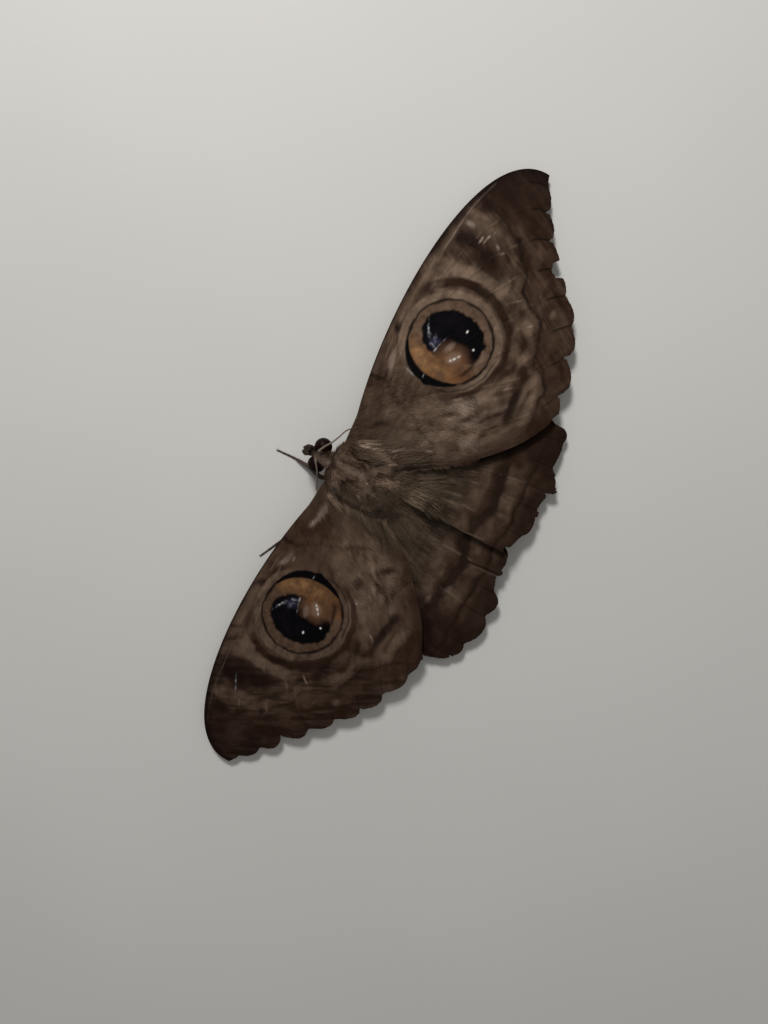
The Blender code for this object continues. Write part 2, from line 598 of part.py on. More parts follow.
def wings_top(x, y):
    """Height that clears the wings' upper faces and veins at a plan point near the thorax."""
    t = np.linspace(0.0, 1.0, 40)
    trailing = cubic(beside_thorax(FORE_ROOT_Y[1]), FORE_TRAIL_HANDLES, TORNUS, t)
    reach = np.abs(x)
    half = 0.5*(MEMBRANE + ROOT_THICKENING) + VEIN_RIDGE
    over_right = x < RIGHT_OVER_LEFT_X
    hind = np.where(over_right, hind_height(reach, y, "right"), hind_height(reach, y, "left"))
    on_fore = y < np.interp(reach, trailing[:, 0], trailing[:, 1]) + TRAILING_EDGE_CLEARANCE
    return np.where(on_fore, sheet_height(reach, y), hind) + half


def lock_solid(root, heading, bend, length, width, lift):
    """Flat tapering lock: plan arc from its root, each station's edges resting on what lies below,
    its upper and lower faces split alike."""
    along = np.array(LOCK_STATIONS)
    angle = heading + bend*along
    step = np.diff(along, prepend=0.0)*length
    x = root[0] + np.cumsum(step*np.sin(angle))
    y = root[1] + np.cumsum(step*np.cos(angle))
    half_width = 0.5*width*np.array(LOCK_TAPER)
    half_thick = 0.5*LOCK_THICKNESS*np.array(LOCK_SLIMMING)
    across = np.stack([np.cos(angle), -np.sin(angle)], axis=-1)*half_width[:, None]
    columns = []
    for side, thick in ((-1.0, 0.0), (0.0, 1.0), (1.0, 0.0), (0.0, -1.0)):
        px, py = x + side*across[:, 0], y + side*across[:, 1]
        over_wings = wings_top(px, py) + LOCK_CLEARANCE + half_thick + lift
        over_thorax = thorax_top(px, py) + LOCK_CLEARANCE + half_thick
        z = np.maximum(over_wings, over_thorax)
        z[0] = thorax_top(*root) - LOCK_SINK
        columns.append(np.stack([px, py, z + thick*half_thick], axis=-1))
    index = np.arange(4*len(along)).reshape(-1, 4)
    near, far = index[:-1], index[1:]
    faces = [index[0, [0, 1, 3]], index[0, [1, 2, 3]], index[-1, [0, 1, 3]], index[-1, [1, 2, 3]]]
    for crest in (1, 3):
        for a, b in ((0, crest), (crest, 2)):
            faces += list(np.stack([near[:, a], near[:, b], far[:, b]], -1))
            faces += list(np.stack([near[:, a], far[:, b], far[:, a]], -1))
    return np.stack(columns, axis=1).reshape(-1, 3), np.array(faces).tolist()


def thorax_locks():
    """Locks of the long hair on both sides: a fan behind the thorax in two tiers, and two tiers on
    each shoulder."""
    draw = np.random.default_rng(LOCK_SEED)
    solids = []
    for tier in LOCK_TIERS:
        for sign in SIDES.values():
            for share in np.linspace(0.0, 1.0, tier["count"]):
                vary = 1.0 + LOCK_VARIATION*draw.uniform(-1.0, 1.0, 2)
                root = np.array(tier["roots"][0])*(1.0 - share) + np.array(tier["roots"][1])*share
                heading = tier["headings"][0]*(1.0 - share) + tier["headings"][1]*share
                length = tier["length"]*(1.0 - LOCK_SHORTENING*share)*vary[0]
                solids.append(lock_solid((sign*root[0], root[1]), sign*heading, sign*LOCK_BEND,
                                         length, LOCK_WIDTH*vary[1], tier["lift"]))
    return solids


def make_thorax(parent):
    """Broad furry trunk that carries the wings, with its locks of long hair."""
    span = np.linspace(-0.5*math.pi, 0.5*math.pi, THORAX_RINGS)
    y = np.unique(np.clip(THORAX_MIDDLE_Y + THORAX_HALF_LENGTH*np.sin(span), THORAX_FRONT_Y, THORAX_REAR_Y))
    share = thorax_profile(y, THORAX_HALF_LENGTH)
    rings = section_rings(y, THORAX_HALF_WIDTH*share, THORAX_RISE*share, THORAX_SINK*share,
                          thorax_centre_z(y), SECTION_SQUARENESS, THORAX_SIDES)
    anchor = (0.0, THORAX_MIDDLE_Y, THORAX_CENTRE_Z)
    thorax = add_node("thorax", ring_solid(rings), "scaled_body", parent, anchor)
    fuse(thorax, thorax_locks(), anchor)


def make_abdomen(parent):
    """Tapering abdomen of rings, each a little wider at its rear edge."""
    along = np.concatenate([np.linspace(k, k + SEGMENT_LAST_RING, 3) for k in range(ABDOMEN_SEGMENTS)])
    along /= ABDOMEN_SEGMENTS
    along = np.append(along, 1.0)
    y = ABDOMEN_FRONT_Y + (ABDOMEN_END_Y - ABDOMEN_FRONT_Y)*along
    step = 1.0 + SEGMENT_STEP*(np.mod(along*ABDOMEN_SEGMENTS, 1.0) - 0.5)
    rounding, power = ABDOMEN_END_ROUNDING
    share = (1.0 - ABDOMEN_TAPER*along)*(1.0 - rounding*along**power)*step
    centre = ABDOMEN_FRONT_Z + (ABDOMEN_END_Z - ABDOMEN_FRONT_Z)*along
    height = ABDOMEN_HALF_HEIGHT*share
    rings = section_rings(y, ABDOMEN_HALF_WIDTH*share, height, height, centre,
                          ABDOMEN_SQUARENESS, ABDOMEN_SIDES)
    add_node("abdomen", ring_solid(rings), "scaled_body", parent, (0.0, ABDOMEN_FRONT_Y, ABDOMEN_FRONT_Z))


def make_wings(parent):
    """Two forewings over two hindwings, each hinged beside the thorax."""
    for side, sign in SIDES.items():
        for pair, hinge_y in (("fore", -4.0), ("hind", 1.5)):
            anchor = (sign*THORAX_HALF_WIDTH, hinge_y, ROOT_HEIGHT)
            solid = sheet_solid(*wing_surfaces(pair, side))
            add_node(pair + "wing_" + side, solid, "scaled_wing", parent, anchor, sharp=WING_SMOOTH_ANGLE)


def make_legs(parent):
    """Six jointed legs whose feet lie flat on the floor."""
    for name, path in LEG_PATHS.items():
        rings = swept_rings(path, LEG_RADII, LIMB_SIDES, PATH_STEPS)
        rings[..., 2] = np.where(rings[..., 2] < SOLE_HEIGHT, 0.0, rings[..., 2])
        add_node(name, ring_solid(rings), "leg", parent, path[0])


def main():
    for obj in list(bpy.data.objects):
        bpy.data.objects.remove(obj, do_unlink=True)
    moth = add_empty("moth", (0.0, -PLAN_MIDDLE_Y, 0.0))
    pivot = np.array([0.0, HEAD_REAR_Y, HEAD_CENTRE_Z])
    neck = add_empty("neck", (HEAD_SHIFT_X, HEAD_REAR_Y, HEAD_CENTRE_Z), moth, HEAD_TURN)
    make_head(neck, pivot)
    make_palps(neck, pivot)
    make_feelers(moth)
    make_thorax(moth)
    make_abdomen(moth)
    make_wings(moth)
    make_legs(moth)


main()
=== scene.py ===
"""Finish of the owl moth at rest: patterned wings, fur, eyes, feelers and legs.

Shapes are worked out in millimetres in the plan of the model, whose y = 0 lies just behind
the wing roots, and are put down in metres in the frame of the solids.
"""
import math

import bpy
import numpy as np
from mathutils import Matrix


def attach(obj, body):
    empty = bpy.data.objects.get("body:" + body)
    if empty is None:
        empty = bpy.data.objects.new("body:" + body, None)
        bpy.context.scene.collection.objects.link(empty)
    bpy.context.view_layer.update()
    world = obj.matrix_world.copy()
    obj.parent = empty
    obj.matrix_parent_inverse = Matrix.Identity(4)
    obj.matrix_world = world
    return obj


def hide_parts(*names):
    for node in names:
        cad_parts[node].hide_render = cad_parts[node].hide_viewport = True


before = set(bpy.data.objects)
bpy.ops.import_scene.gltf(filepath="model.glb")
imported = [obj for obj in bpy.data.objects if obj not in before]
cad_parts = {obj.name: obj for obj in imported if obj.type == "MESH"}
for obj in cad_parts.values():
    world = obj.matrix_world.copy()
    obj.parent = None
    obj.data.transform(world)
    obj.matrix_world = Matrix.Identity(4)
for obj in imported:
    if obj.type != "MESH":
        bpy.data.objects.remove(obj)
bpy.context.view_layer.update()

bl_info = {
    "name": "Owl Moth Finish",
    "version": (1, 0, 0),
    "blender": (4, 5, 0),
    "location": "View3D > Sidebar > Moth",
    "description": "Dresses the solids of a large owl moth with wings, fur, eyes, feelers and legs",
    "category": "Object",
}

MM = 0.001
PLAN_MIDDLE_Y = 3.032
SIDES = {"left": 1.0, "right": -1.0}

# Thorax, as in the solids
THORAX_HALF_WIDTH = 5.0
THORAX_MIDDLE_Y = -3.6
THORAX_HALF_LENGTH = 7.0
THORAX_CENTRE_Z = 4.8
THORAX_REAR_DROP = 0.8
THORAX_RISE = 3.5
THORAX_SINK = 2.7
FRONT_SQUARENESS = 4.0
REAR_SQUARENESS = 2.8
SECTION_SQUARENESS = 2.3
ROOT_GAP = 0.3

# Abdomen and head, as in the solids
ABDOMEN_FRONT_Y = 3.5
ABDOMEN_END_Y = 20.2
ABDOMEN_FRONT_Z = 3.0
ABDOMEN_END_Z = 1.7
ABDOMEN_HALF_WIDTH = 2.35
ABDOMEN_HALF_HEIGHT = 1.95
ABDOMEN_SEGMENTS = 7
HEAD_TURN = math.radians(5.0)
HEAD_SHIFT_X = 0.15
HEAD_REAR_Y = -10.7
HEAD_FRONT_Y = -13.65
HEAD_CENTRE_Z = 4.45
EYE_RADIUS = 1.42
EYE_CENTRE = (1.5, -12.2, 4.5)
PALP_PATH = ((0.52, -12.95, 2.15), (0.54, -14.0, 2.55), (0.54, -14.45, 3.6),
             (0.53, -14.4, 4.7), (0.5, -14.25, 5.35))
PALP_RADII = (0.34, 0.4, 0.39, 0.38, 0.26)
FEELER_ROOT = {"left": (0.78, -12.45, 6.66), "right": (-0.42, -12.5, 6.66)}
FEELER_PATH = ((1.5, -12.0, 6.72), (2.6, -11.3, 6.2), (3.9, -10.75, 5.3), (5.4, -10.1, 4.4),
               (6.8, -8.3, 3.8), (8.4, -4.5, 3.35), (9.9, 0.5, 2.95), (10.9, 6.0, 2.6), (11.3, 11.0, 2.3))
SOLE_AXIS_Z = 0.15
LEG_RADII = (0.5, 0.55, 0.42, 0.38, 0.28, 0.26, 0.2)
LEG_PATHS = {
    "leg_front_left": ((1.7, -8.3, 1.85), (2.6, -9.2, 1.35), (3.55, -10.6, 2.1), (3.12, -13.2, 1.15),
                       (3.05, -15.2, 0.45), (3.06, -16.3, 0.24), (3.2, -19.1, 0.24)),
    "leg_front_right": ((-1.7, -8.3, 1.85), (-2.6, -9.0, 1.3), (-5.0, -9.4, 2.0), (-7.0, -8.9, 1.1),
                        (-8.1, -8.6, 0.45), (-9.0, -8.4, 0.24), (-11.2, -7.9, 0.24)),
    "leg_middle_left": ((2.4, -5.2, 1.75), (3.6, -5.7, 1.2), (9.6, -8.0, 1.9), (13.6, -10.2, 1.0),
                        (15.2, -11.0, 0.45), (16.2, -11.6, 0.24), (20.35, -13.65, 0.24)),
    "leg_middle_right": ((-2.4, -5.2, 1.75), (-3.6, -5.6, 1.2), (-9.4, -6.6, 1.9), (-13.2, -7.4, 1.0),
                         (-14.9, -7.8, 0.45), (-15.9, -8.1, 0.24), (-20.3, -9.2, 0.24)),
    "leg_hind_left": ((2.2, -1.2, 1.8), (3.2, -0.5, 1.2), (7.2, 3.6, 1.9), (9.3, 8.6, 0.95),
                      (10.0, 10.4, 0.42), (10.4, 11.4, 0.24), (12.2, 16.4, 0.24)),
    "leg_hind_right": ((-2.2, -1.2, 1.8), (-3.2, -0.5, 1.2), (-7.2, 3.6, 1.9), (-9.3, 8.6, 0.95),
                       (-10.0, 10.4, 0.42), (-10.4, 11.4, 0.24), (-12.2, 16.4, 0.24)),
}

# Wing sheets and outlines, as in the solids
ROOT_HEIGHT = 5.2
TIP_DROP = 4.0
CAMBER = 0.2
FRONT_DROOP = 0.7
REAR_SLOPE = 0.08
REAR_SLOPE_FROM_Y = 8.0
HALF_SPAN = 55.0
FORE_OVER_HIND = 1.35
DOME_OVER_ABDOMEN = 1.8
DOME_HALF_WIDTH = 2.6
OVERLAP_LIFT = 1.05
APEX = (HALF_SPAN, -1.4)
TORNUS = (21.85, 17.75)
FORE_ROOT_Y = (-9.1, 1.0)
COSTA_HANDLES = ((25.0, -15.0), (55.9, -13.4))
FORE_MARGIN_HANDLES = ((46.0, 2.8), (37.5, 16.2))
FORE_TRAIL_HANDLES = ((7.5, 6.5), (14.0, 15.5))
HIND_CORNER = (22.0, 17.4)
HIND_INNER_ROOT_X = 0.2
HIND_INNER_END = (-0.4, 21.3)
HIND_ROOT_FRONT_Y = -1.0
HIND_COSTA_HANDLES = ((12.0, 2.0), (23.5, 9.5))
HIND_MARGIN_HANDLES = ((22.6, 23.6), (9.0, 25.6))
HIND_INNER_HANDLES = ((0.2, 9.0), (-0.5, 10.0))
SWEEP = {"fore": {"left": -0.012, "right": 0.012}, "hind": {"left": 0.02, "right": -0.02}}

# Notches and lobes of the margins: place of each notch, its offset and that of the lobe's crest before it
MARGINS = {
    "fore": {
        "left": ((0.06, 0.0, 0.05), (0.185, 0.25, 0.95), (0.31, -0.3, 1.15), (0.44, 0.0, 1.05),
                 (0.56, 0.2, 1.0), (0.675, 0.8, 1.35), (0.785, 0.4, 1.5), (0.905, 0.9, 1.5),
                 (1.0, 0.0, 1.05)),
        "right": ((0.06, -0.1, -0.1), (0.175, -0.4, 0.2), (0.3, -0.65, 0.0), (0.42, -0.6, -0.1),
                  (0.53, 0.0, 0.2), (0.645, 0.5, 1.0), (0.765, -0.2, 1.0), (0.905, -0.3, 0.95),
                  (1.0, 0.0, 0.5)),
    },
    "hind": {
        "left": ((0.14, 0.1, 0.0), (0.27, 0.9, 0.7), (0.395, 0.45, 1.1), (0.61, 0.4, 1.5),
                 (0.75, 0.1, 1.35), (0.85, -0.2, -0.3), (1.0, 0.0, 0.6)),
        "right": ((0.12, 0.1, 0.05), (0.28, 0.45, 1.15), (0.46, -0.9, -0.3), (0.605, 0.1, 0.9),
                  (0.72, -0.25, -0.3), (0.87, 0.2, 0.75), (1.0, 0.0, 0.0)),
    },
}
LOBE_SKEW = 1.5
LOBE_FULLNESS = 2.2

# Wing membrane: thickness, veins by their place at the root and where they leave it, and grid sizes
MEMBRANE = 0.22
VEIN_HEIGHT = 0.06
VEIN_HALF_WIDTH = 0.2
VEIN_SPREAD_END = 0.78
PLEAT_DEPTH = 0.14
VEIN_ROOTS = {
    "fore": ((0.1, 0.0), (0.14, 0.12), (0.2, 0.42), (0.26, 0.46), (0.42, 0.46), (0.5, 0.3),
             (0.56, 0.0), (0.8, 0.0)),
    "hind": ((0.12, 0.0), (0.22, 0.3), (0.32, 0.42), (0.45, 0.42), (0.55, 0.0), (0.78, 0.0)),
}
WING_GRID = {"fore": (280, 290), "hind": (180, 240)}
UNDER_GRID_STEP = 3

# Wear of the margins: place along the margin, half width and depth of each missing piece
WEAR = {
    "fore": {
        "left": ((0.997, 0.01, -0.4), (0.31, 0.006, 0.35), (0.675, 0.006, 0.3)),
        "right": ((0.425, 0.032, 1.05), (0.178, 0.006, 0.5), (0.765, 0.006, 0.5), (0.905, 0.007, 0.9),
                  (0.3, 0.006, 0.4), (0.992, 0.02, 0.5)),
    },
    "hind": {
        "left": ((0.805, 0.045, 0.15), (0.857, 0.01, -0.5), (0.27, 0.006, 0.3)),
        "right": ((0.535, 0.03, 0.35), (0.594, 0.012, -0.5), (0.615, 0.008, 0.5), (0.975, 0.015, 0.5),
                  (0.735, 0.012, -0.4)),
    },
}
WEAR_FROM = 0.94
RAGGEDNESS = 0.1

# Eyespot on the forewing, measured from its centre
SPOT = (25.05, -2.5)
LINE_RADIUS = 6.7
LINE_HALF_WIDTH = 0.2
PUPIL_CENTRE = (25.95, -2.45)
PUPIL_HALF_SIZES = (4.05, 5.2)

# Black crescent of the eyespot: angle from its body side, inner and outer radius
CRESCENT = ((-66.0, 6.6, 6.95), (-50.0, 6.45, 7.2), (-38.0, 6.35, 7.45), (-22.0, 6.25, 7.6),
            (-10.0, 6.2, 7.5), (-4.0, 6.15, 7.8), (4.0, 6.15, 7.4), (12.0, 6.2, 7.2),
            (24.0, 6.3, 7.0), (36.0, 6.5, 6.85))

# Brown lobe of the pupil, zigzag line of the forewing, pale streaks of the shoulders
GLOW_LOBE = ((22.3, -0.9), 3.6)
ZIGZAG = ((46.8, -8.0), (46.0, -5.4), (44.9, -2.8), (43.9, -0.9), (42.9, 0.2), (41.2, 1.1), (40.3, 2.6),
          (38.8, 3.2), (36.9, 3.5), (36.2, 5.0), (35.2, 6.8), (34.6, 8.3), (32.6, 9.1), (30.2, 9.7),
          (28.4, 10.2), (27.4, 12.2), (25.5, 14.0), (22.5, 14.4), (19.5, 14.8), (16.5, 13.5))
RIGHT_STREAK = ((-4.2, -6.8), (-4.9, -4.6), (-5.4, -3.0), (-6.9, -0.4), (-8.4, 2.2))
LEFT_STREAK = ((4.7, -8.6), (3.8, -6.0), (3.7, -3.2), (4.2, -0.9))

# Direction in the plan out across the forewing's outer margin
OUTWARD = (0.593, 0.804)

# Wavy lines before the zigzag line: distance from it, half width, tone, strength
ZIGZAG_LINES = (
    (-1.1, 0.4, "tan", 0.28),
    (-2.2, 0.45, "bark", 0.65),
    (-3.4, 0.5, "tan", 0.2),
    (-4.6, 0.5, "bark", 0.6),
    (-6.0, 0.6, "bark", 0.2),
)

# Marks of the forewing: plan point, half length, half width, turn, tone, strength, and the side if only
# one has it
FORE_MARKS = (
    (23.5, -11.0, 1.6, 0.75, -43.0, "soot", 0.9),
    (21.6, -9.8, 1.0, 0.3, -20.0, "bark", 0.6),
    (15.0, -10.3, 1.6, 0.45, 88.0, "soot", 0.85),
    (7.8, -6.9, 1.5, 0.4, 45.0, "soot", 0.5),
    (10.2, -8.0, 2.2, 0.8, -30.0, "bark", 0.5),
    (18.2, -9.2, 1.8, 0.5, -20.0, "rosy", 0.4),
    (17.4, -8.0, 0.5, 0.16, 0.0, "rosy", 0.6),
    (18.05, -6.0, 1.1, 0.13, 101.0, "silver", 0.75, "right"),
    (7.4, -8.0, 1.5, 0.45, -8.0, "rosy", 0.5, "left"),
    (9.6, -8.5, 1.4, 0.3, -20.0, "rosy", 0.6, "left"),
    (13.0, -5.3, 2.4, 0.14, 22.0, "bark", 0.5, "left"),
    (10.2, -6.1, 1.6, 0.8, 40.0, "tan", 0.4, "right"),
    (8.2, -6.5, 1.4, 0.35, 75.0, "soot", 0.55, "right"),
    (15.6, -4.6, 1.6, 1.6, 60.0, "bark", 0.4),
    (13.8, -1.2, 3.0, 1.6, 40.0, "tan", 0.5),
    (17.5, 4.3, 2.7, 0.9, 50.0, "rosy", 0.5, "right"),
    (12.4, 7.3, 1.5, 0.8, 62.0, "rosy", 0.4, "right"),
    (15.3, 6.0, 2.6, 0.6, 45.0, "rosy", 0.3, "right"),
    (17.6, 4.0, 2.2, 1.5, 40.0, "tan", 0.7, "left"),
    (12.8, 7.4, 1.8, 1.0, 10.0, "tan", 0.6, "left"),
    (15.8, 2.6, 1.1, 0.9, 35.0, "soot", 0.75, "left"),
    (11.8, 5.7, 1.4, 0.65, -50.0, "soot", 0.85, "left"),
    (10.6, 5.2, 1.3, 0.8, 30.0, "bark", 0.6, "right"),
    (16.4, 9.0, 2.0, 0.6, 5.0, "bark", 0.5),
    (20.3, 6.0, 2.0, 0.8, 35.0, "tan", 0.55),
    (19.0, 4.4, 0.2, 0.2, 0.0, "silver", 0.8, "left"),
    (17.4, -0.6, 3.4, 0.35, 47.0, "bark", 0.5),
    (18.9, 3.4, 2.8, 0.3, 48.0, "bark", 0.6),
    (31.8, -8.3, 1.3, 0.9, 55.0, "tan", 0.6),
    (31.8, -8.6, 0.6, 0.25, 120.0, "rosy", 0.6, "right"),
    (31.4, -9.9, 2.4, 0.45, 4.0, "bark", 0.6),
    (35.8, -6.0, 3.6, 0.95, 92.0, "tan", 0.75),
    (35.7, -7.5, 1.1, 0.14, 12.0, "rosy", 0.7, "right"),
    (35.9, -3.7, 1.0, 0.14, 12.0, "rosy", 0.5, "right"),
    (32.3, -1.9, 0.8, 0.13, 18.0, "rosy", 0.9),
    (33.0, -9.0, 0.45, 0.2, 60.0, "rosy", 0.5),
    (43.3, -5.6, 4.2, 1.2, 95.0, "tan", 0.28),
    (39.0, -5.0, 5.4, 2.6, 88.0, "soot", 0.5, "left"),
    (40.0, -9.8, 3.6, 0.8, 8.0, "soot", 0.65, "left"),
    (40.2, -7.7, 3.1, 1.7, 90.0, "umber", 0.95),
    (40.4, -7.9, 2.0, 1.0, 80.0, "soot", 0.6),
    (37.7, -8.6, 1.5, 0.8, 95.0, "bark", 0.85),
    (38.2, -5.8, 1.2, 0.9, 20.0, "bark", 0.6),
    (38.9, -3.5, 2.5, 1.8, 92.0, "umber", 0.95),
    (39.3, -3.8, 1.5, 1.0, 100.0, "soot", 0.55),
    (37.6, -2.1, 1.7, 0.7, 130.0, "bark", 0.6),
    (42.5, -10.4, 3.4, 0.4, 12.0, "bark", 0.5),
    (42.6, -8.7, 0.9, 0.5, 95.0, "rosy", 0.7, "right"),
    (44.6, -8.0, 1.8, 0.5, 98.0, "tan", 0.5),
    (41.5, -5.9, 0.9, 0.2, 10.0, "rosy", 0.95, "right"),
    (41.7, -5.2, 0.9, 0.16, 14.0, "rosy", 0.8, "right"),
    (42.8, -4.7, 0.8, 0.14, 24.0, "rosy", 0.6, "right"),
    (41.1, -2.9, 0.9, 0.22, -42.0, "rosy", 0.95, "right"),
    (41.0, -1.9, 0.9, 0.18, 35.0, "rosy", 0.7, "right"),
    (41.3, -6.9, 1.3, 0.14, 22.0, "silver", 0.6, "left"),
    (46.4, -7.5, 1.8, 1.1, 70.0, "umber", 0.9),
    (45.5, -3.9, 1.4, 0.9, -25.0, "umber", 0.75),
    (43.9, -0.7, 0.6, 0.45, 0.0, "soot", 0.7),
    (35.2, 3.3, 1.1, 0.14, 48.0, "rosy", 0.85),
    (37.0, 0.6, 2.0, 0.16, 30.0, "rosy", 0.5),
    (36.6, 1.0, 1.6, 0.8, 150.0, "tan", 0.45),
    (31.5, 4.9, 1.1, 0.55, -30.0, "soot", 0.7),
    (33.2, 2.4, 0.9, 0.5, -50.0, "bark", 0.6),
    (34.0, 5.5, 1.3, 0.7, -50.0, "bark", 0.75),
    (32.8, 7.0, 1.6, 0.75, -40.0, "tan", 0.7),
    (32.6, 6.8, 1.4, 0.14, 50.0, "rosy", 0.85, "right"),
    (30.2, 7.9, 1.1, 0.6, 0.0, "bark", 0.75),
    (27.8, 8.7, 1.3, 0.8, 10.0, "tan", 0.6),
    (26.2, 8.3, 0.9, 0.45, 5.0, "soot", 0.65),
    (25.9, 6.8, 1.0, 0.35, 20.0, "bark", 0.6),
    (23.6, 8.3, 1.7, 0.8, 20.0, "tan", 0.65),
    (23.0, 9.2, 1.3, 0.14, 50.0, "rosy", 0.6),
    (21.7, 10.8, 3.4, 0.8, -7.0, "soot", 0.85),
    (18.6, 11.3, 1.1, 0.9, 0.0, "soot", 0.75),
    (25.6, 10.2, 1.2, 0.5, -20.0, "bark", 0.7),
    (25.4, 11.8, 1.4, 0.7, 5.0, "tan", 0.7),
    (21.2, 13.2, 2.7, 0.8, -4.0, "tan", 0.65),
    (21.0, 15.9, 2.8, 0.9, 8.0, "bark", 0.6),
    (28.2, 13.6, 1.1, 0.8, 20.0, "brown", 0.8),
    (33.0, 11.6, 1.4, 0.7, -30.0, "brown", 0.7),
    (36.2, 9.6, 0.7, 0.55, 0.0, "tan", 0.55),
    (38.9, 5.4, 1.3, 0.9, -40.0, "brown", 0.8),
    (42.2, 3.4, 0.9, 0.7, 0.0, "brown", 0.6),
    (37.9, 6.4, 0.5, 0.12, -30.0, "rosy", 0.5),
)

# Lines of the forewing: bent line near the root, strip beside the costa, pale line towards the apex
BENT_LINE = ((15.1, -8.4), (13.6, -7.3), (12.6, -6.1), (12.3, -4.8), (11.7, -2.8), (10.2, -0.6), (9.6, 1.9))
COSTA_STRIP = ((24.5, -11.2), (30.0, -11.1), (36.0, -10.7), (41.0, -10.4))
COSTA_LINE = ((34.0, -10.4), (37.5, -10.3), (42.0, -10.0), (45.0, -9.6), (47.0, -9.1), (50.0, -8.1))

# Pale marks of the left hindwing: centre, half length, half width, turn, strength
HIND_LEFT_MARKS = (
    ((13.1, 14.1), 0.8, 0.4, -15.0, 0.3),
    ((15.3, 13.1), 0.6, 0.35, 30.0, 0.25),
    ((10.3, 16.3), 1.0, 0.5, -20.0, 0.2),
)

# Pale glints on the eyespot: plan point, half length, half width, turn, colour, strength
SPOT_GLINTS = (
    (25.75, -6.75, 1.0, 0.16, -28.0, "silver", 0.8),
    (23.4, -4.75, 0.6, 0.16, 105.0, "silver", 0.75),
    (23.0, -4.05, 0.45, 0.14, 10.0, "silver", 0.7),
    (24.5, -3.65, 1.1, 0.1, 18.0, "silver", 0.35),
    (24.5, -4.9, 0.8, 0.3, -30.0, "silver", 0.18),
    (24.6, -6.0, 0.55, 0.28, -40.0, "silver", 0.28),
    (18.5, -3.75, 0.3, 0.09, -8.0, "silver", 0.5),
    (22.9, -0.85, 0.75, 0.17, 38.0, "white", 0.85),
    (23.7, -0.25, 0.3, 0.13, 30.0, "white", 0.55),
    (27.75, -0.95, 0.24, 0.15, 10.0, "white", 0.95),
    (25.7, 1.25, 0.18, 0.15, 60.0, "white", 0.95),
)

# Painted highlight on the ridge and painted shade in the valleys of the long hair behind the thorax
# and over the right wing's base
REAR_RIDGE_HIGHLIGHT = ((-1.1, -1.1), (-0.5, 0.6), (0.3, 2.6))
REAR_VALLEY_SHADE = ((2.6, -1.5), (1.1, 0.1), (-0.1, 0.8), (0.6, 2.3))
WING_BASE_VALLEY_SHADE = ((-2.7, -0.7), (-4.4, 0.6), (-6.2, 3.9), (-8.4, 7.2))

# Dark valleys in the fur of the back: line, half width, strength
BODY_SHADOWS = (
    (((-2.6, -6.4), (-3.5, -2.4), (-3.6, 0.8)), 0.25, 0.85),
    (((3.0, -6.6), (3.2, -2.8), (3.3, 0.8)), 0.25, 0.7),
    (((2.1, -6.8), (1.2, -5.6), (0.6, -4.7)), 0.22, 0.7),
    (((0.5, -1.9), (0.3, -0.4), (-0.6, 0.9)), 0.2, 0.7),
    (((-1.4, -7.6), (-1.7, -5.6), (-1.5, -3.8)), 0.18, 0.5),
)

# Coat: the fur's depth over the skin, the first seed of the tufts' chance values, points of a tuft,
# hairs in one lock
COAT_DEPTH = 0.55
TUFT_SEED = 11
TUFT_POINTS = 7
HAIRS_PER_LOCK = 26

# Rings of the body skin and points round each, the eyes' rings and points, tufts on a palp and a leg
SKIN_GRID = (270, 96)
EYE_GRID = (60, 84)
PALP_SCALES = 2600
LEG_SCALES = 750

# Share of a leg's length at which its jointed foot begins, and sides of the feelers' tubes
FOOT_FROM = 0.66
FEELER_SIDES = 14

# Soft lights: name, direction from the moth, distance, size, share of the power, colour
LIGHTS = (
    ("main_light", (-0.24, -0.2, 0.3), 0.34, 0.065, 0.75, (1.0, 0.98, 0.95)),
    ("fill_light", (-0.5, 0.2, 1.2), 0.8, 0.5, 0.3, (1.0, 0.98, 0.96)),
)

# Finishes of scales and hair: roughness, grain and cloud frequency, contrast, bump and shine
FINISHES = {
    "wing_scales_finish": (0.7, 4200.0, 520.0, 0.28, 0.3, 0.04),
    "body_fur": (0.75, 5200.0, 700.0, 0.3, 0.35, 0.04),
    "body_skin_finish": (0.85, 3000.0, 500.0, 0.3, 0.5, 0.04),
    "palp_finish": (0.8, 4000.0, 800.0, 0.3, 0.4, 0.04),
    "feeler_finish": (0.6, 6000.0, 900.0, 0.25, 0.3, 0.35),
    "leg_finish": (0.75, 5000.0, 900.0, 0.25, 0.3, 0.04),
}


def srgb(code):
    """Linear colour of a six-digit screen colour."""
    values = np.array([int(code[k:k + 2], 16) for k in (0, 2, 4)])/255.0
    return tuple(np.where(values <= 0.04045, values/12.92, ((values + 0.055)/1.055)**2.4))


def ease(value):
    """Ease from 0 to 1 while the value goes from 0 to 1."""
    t = np.clip(value, 0.0, 1.0)
    return t*t*(3.0 - 2.0*t)


def between(value, low, high, soft):
    """1 where the value lies between two limits, easing to 0 over a soft edge outside them."""
    return ease((value - low)/soft + 1.0)*ease((high - value)/soft + 1.0)


def bell(value, half_width):
    """Bell curve: 1 at 0, falling to e**-1 at the half width."""
    return np.exp(-(value/half_width)**2)


def unit(vectors):
    """The same directions with a length of 1."""
    return vectors/np.maximum(np.linalg.norm(vectors, axis=-1, keepdims=True), 1e-9)


def along_skin(way, normal):
    """Unit direction of a way laid flat on the skin that has the given normals."""
    return unit(way - np.sum(way*normal, axis=-1, keepdims=True)*normal)


